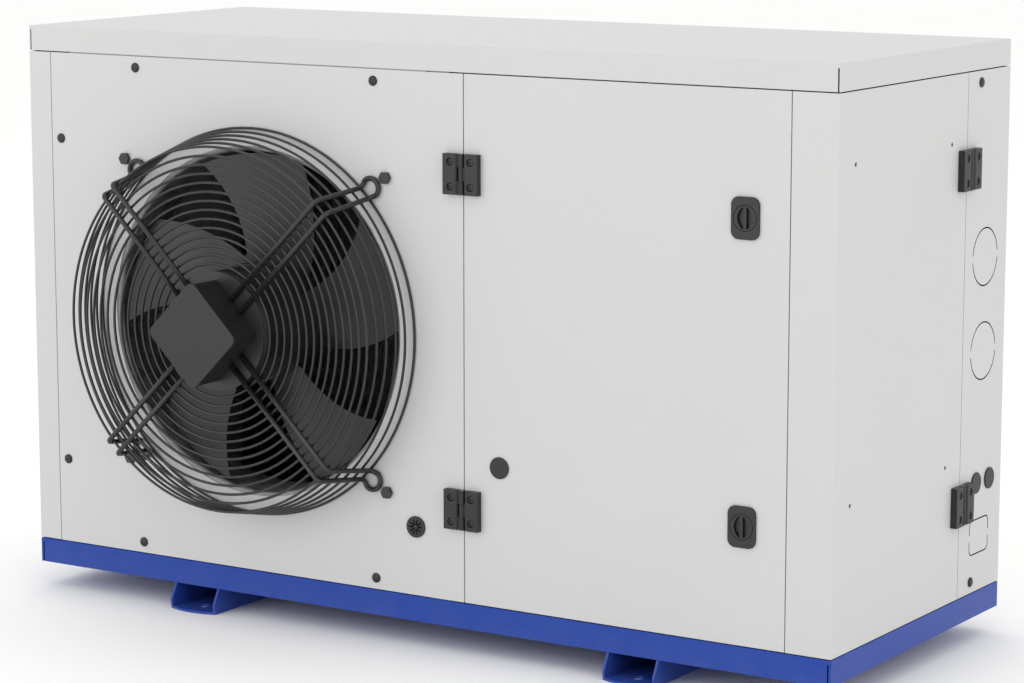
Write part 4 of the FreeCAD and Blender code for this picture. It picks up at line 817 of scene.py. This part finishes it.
class UNIT_OT_coil(bpy.types.Operator):
    """Make the condenser coil's fins and tubes"""

    bl_idname = "unit.coil"
    bl_label = "Condenser coil"

    def execute(self, context):
        sizes = context.scene.unit_coil
        tube_depths = (0.27, 0.73)
        low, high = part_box("coil_fins")
        span = high - low
        count = int(span.x / sizes.pitch)
        fin = wavy_fin(sizes, span.y, span.z)
        places = [((low.x + span.x * (i + 0.5) / count, low.y, low.z), (0, 0, 1)) for i in range(count)]
        new_piece("coil_fin_plates", repeated(fin, places, "coil_aluminium"), "coil_aluminium",
                  "cabinet", "coil_fins")
        tube = turned([(0, 0), (sizes.tube, 0), (sizes.tube, span.x), (0, span.x)], steps=12)
        rise = span.z / sizes.tube_rows
        places = [((low.x, low.y + span.y * share, low.z + rise * (row + 0.5)), (1, 0, 0))
                  for row in range(sizes.tube_rows) for share in tube_depths]
        new_piece("coil_tubes", repeated(tube, places, "copper"), "copper", "cabinet")
        new_piece("coil_bends", merged("coil_return_bends"), "copper", "cabinet", "coil_return_bends")
        return {"FINISHED"}


def wavy_fin(sizes, deep, high):
    """One fin, folded in waves from front to back so that no light passes straight through."""
    steps = 2 * sizes.waves
    line = [(sizes.swing * (-1) ** i, deep * i / steps) for i in range(steps + 1)]
    half = sizes.thickness / 2
    loop = [(x - half, y) for x, y in line] + [(x + half, y) for x, y in reversed(line)]
    return prism([(x, y, 0) for x, y in loop], (0, 0, high))


class UNIT_OT_fasteners(bpy.types.Operator):
    """Make screw caps, hinge screws and the fan's bolts"""

    bl_idname = "unit.fasteners"
    bl_label = "Fasteners"

    def execute(self, context):
        domed_caps("screw_caps")
        for node in ("fixed_hinge_screws", "door_hinge_screws", "side_door_hinge_screws"):
            cross_screws(node)
        dress("fan_bolts", 0.0004)
        dress("hinge_pins", 0.0002)
        return {"FINISHED"}


def fasteners(node, end):
    """Where each fastener of a node ends and which way it faces, and one fastener's radius and length.

    An end of 1 gives the outer end, and -1 the inner one.
    """
    found = islands(node)
    places = []
    for centre, size in found:
        way = Vector((0, -1, 0)) if size.y < size.x else Vector((1, 0, 0))
        places.append((centre + way * (end * min(size.x, size.y) / 2), way))
    return places, found[0][1].z / 2, min(found[0][1])


def domed_caps(node):
    """Domed plastic caps over the panel screws."""
    slot, rim, dome_steps = "black_plastic", 0.25, 8
    places, radius, height = fasteners(node, -1)
    dome = [(radius * math.cos(a), height * (rim + (1 - rim) * math.sin(a)))
            for a in (math.pi / 2 * i / dome_steps for i in range(dome_steps))]
    cap = turned([(0, 0), (radius, 0)] + dome + [(0, height)], steps=28)
    new_piece("domed_screw_caps", repeated(cap, places, slot), slot, "cabinet", node)


def cross_screws(node):
    """Countersunk heads with a cross recess, a little below the hinge's face."""
    slot = "black_fan_paint"
    places, radius, length = fasteners(node, 1)
    sunk = -radius * 0.3
    head = turned([(0, -length), (radius * 0.5, -length), (radius * 0.5, sunk - radius * 0.5),
                   (radius, sunk), (radius * 0.7, sunk + radius * 0.16),
                   (radius * 0.35, sunk + radius * 0.22), (0, sunk + radius * 0.24)], steps=24)
    long, narrow, deep = radius * 1.1, radius * 0.24, radius * 0.7
    top = (0, 0, sunk + radius * 0.2)
    cross = [block((long, narrow, deep), top), block((narrow, long, deep), top)]
    new_piece(node + "_cross", repeated(carved(head, cross), places, slot), slot, BODY_OF[node], node)


class UNIT_OT_hardware(bpy.types.Operator):
    """Finish hinges, latches, plugs and the vent insert"""

    bl_idname = "unit.hardware"
    bl_label = "Hinges and latches"

    def execute(self, context):
        for node in ("fixed_hinge_leaves", "door_hinge_leaves", "side_door_hinge_leaves"):
            dress(node, 0.0006, segments=3)
        for level in ("upper", "lower"):
            dress("latch_housing_" + level, 0.0005)
            dress("latch_grip_" + level, 0.0004, mesh=shallow_grip("latch_grip_" + level))
            dress("latch_cam_" + level, 0.0003)
        for node in ("door_plug", "side_plugs", "vent_insert"):
            dress(node, 0.0007, segments=3)
        return {"FINISHED"}


def shallow_grip(node):
    """A latch's grip with the floor of its finger hollows raised."""
    rim, floor_depth, floor_thickness = 1 * MM, 3.5 * MM, 5 * MM
    low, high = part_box(node)
    radius = (high.z - low.z) / 2 - rim
    spot = Vector(((low.x + high.x) / 2, low.y + floor_depth, (low.z + high.z) / 2))
    edge = [spot + Vector((x, 0, z)) * radius for x, z in round_steps(40)]
    floor = prism(edge, (0, floor_thickness, 0))
    return joined([(mesh, Matrix.Identity(4)) for mesh in (merged(node), floor)])


class UNIT_OT_machinery(bpy.types.Operator):
    """Finish the compressor, receiver, pipes, valves and control gear"""

    bl_idname = "unit.machinery"
    bl_label = "Machinery"

    def execute(self, context):
        for node in ("compressor_shell", "compressor_base", "compressor_grommets", "compressor_studs",
                     "compressor_terminal_cover", "liquid_receiver", "service_valves", "contactor",
                     "terminal_strip", "fan_capacitor"):
            dress(node, 0.0005)
        dress("refrigerant_pipes", 0)
        return {"FINISHED"}


# Studio
CAMERA_PLACE = (2.0627, -3.2153, 0.9606)
CAMERA_WAY = (-0.53100, 0.83139, -0.16377)
CAMERA_LENS = 113.58
CAMERA_REACH = 200
FLOOR_REACH = 40.0

# Each light's name, its setting, its share of the setting's power, its size and its place
LIGHTS = (("key", "key", 1.0, 2.6, (-1.4, -4.2, 1.5)),
          ("fill", "fill", 1.0, 3.0, (4.2, -0.8, 1.3)),
          ("overhead", "fill", 0.6, 3.0, (-0.5, 0.8, 4.0)))


def area_light(name, power, size, place, target):
    """A square light that faces the target."""
    light = bpy.data.lights.new(name, "AREA")
    light.energy, light.size = power, size
    lamp = bpy.data.objects.new(name, light)
    bpy.context.scene.collection.objects.link(lamp)
    lamp.location = place
    lamp.rotation_euler = (target - Vector(place)).to_track_quat("-Z", "Y").to_euler()


class UNIT_OT_stage(bpy.types.Operator):
    """Set up the floor, the lights and the camera"""

    bl_idname = "unit.stage"
    bl_label = "Stage"

    def execute(self, context):
        scene, studio = context.scene, context.scene.unit_studio
        floor_mesh = bpy.data.meshes.new("floor")
        corners_xy = ((-1, -1), (1, -1), (1, 1), (-1, 1))
        floor_mesh.from_pydata([(x * FLOOR_REACH, y * FLOOR_REACH, 0) for x, y in corners_xy],
                               [], [(0, 1, 2, 3)])
        floor = bpy.data.objects.new("studio_floor", floor_mesh)
        scene.collection.objects.link(floor)
        paper = Finish("studio_paper")
        paper.set(base_color=rgb(studio.floor), roughness=0.9)
        floor_mesh.materials.append(paper.material)
        floor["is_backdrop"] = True
        target = Vector((0, 0, extent("base_pan").z * 6))
        for name, setting, share, size, place in LIGHTS:
            area_light(name, getattr(studio, setting) * share, size, place, target)
        world = bpy.data.worlds.new("studio")
        world.use_nodes = True
        sky = world.node_tree.nodes["Background"]
        sky.inputs["Color"].default_value = (1, 1, 1, 1)
        sky.inputs["Strength"].default_value = studio.sky
        scene.world = world
        camera = bpy.data.objects.new("camera", bpy.data.cameras.new("camera"))
        scene.collection.objects.link(camera)
        camera.data.lens = CAMERA_LENS
        camera.data.clip_end = CAMERA_REACH
        camera.location = CAMERA_PLACE
        camera.rotation_mode = "QUATERNION"
        camera.rotation_quaternion = Vector(CAMERA_WAY).to_track_quat("-Z", "Y")
        scene.camera = camera
        scene.view_settings.view_transform = "Standard"
        return {"FINISHED"}


class UNIT_PT_panel(bpy.types.Panel):
    """Lists the pieces and their sizes"""

    bl_label = "Condensing Unit"
    bl_idname = "UNIT_PT_panel"
    bl_space_type = "VIEW_3D"
    bl_region_type = "UI"
    bl_category = "Condensing Unit"

    def draw(self, context):
        for group in SETTINGS:
            box = self.layout.box()
            for name in SETTINGS[group].__annotations__:
                box.prop(getattr(context.scene, group), name)
        for operator in OPERATORS:
            self.layout.operator(operator.bl_idname)


SETTINGS = {"unit_colours": UnitColours, "unit_guard": GuardSizes, "unit_fan": FanSizes,
            "unit_coil": CoilSizes, "unit_studio": StudioSettings}
OPERATORS = (UNIT_OT_cabinet, UNIT_OT_guard, UNIT_OT_fan, UNIT_OT_coil, UNIT_OT_fasteners,
             UNIT_OT_hardware, UNIT_OT_machinery, UNIT_OT_stage)
CLASSES = tuple(SETTINGS.values()) + OPERATORS + (UNIT_PT_panel,)


def register():
    for item in CLASSES:
        bpy.utils.register_class(item)
    for name, kind in SETTINGS.items():
        setattr(bpy.types.Scene, name, PointerProperty(type=kind))


def unregister():
    for name in SETTINGS:
        delattr(bpy.types.Scene, name)
    for item in reversed(CLASSES):
        bpy.utils.unregister_class(item)


def corners():
    return [list(corner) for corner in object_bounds()]


def main():
    register()
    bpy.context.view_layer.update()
    for operator in OPERATORS:
        group, name = operator.bl_idname.split(".")
        getattr(getattr(bpy.ops, group), name)()


if __name__ == "__main__":
    main()
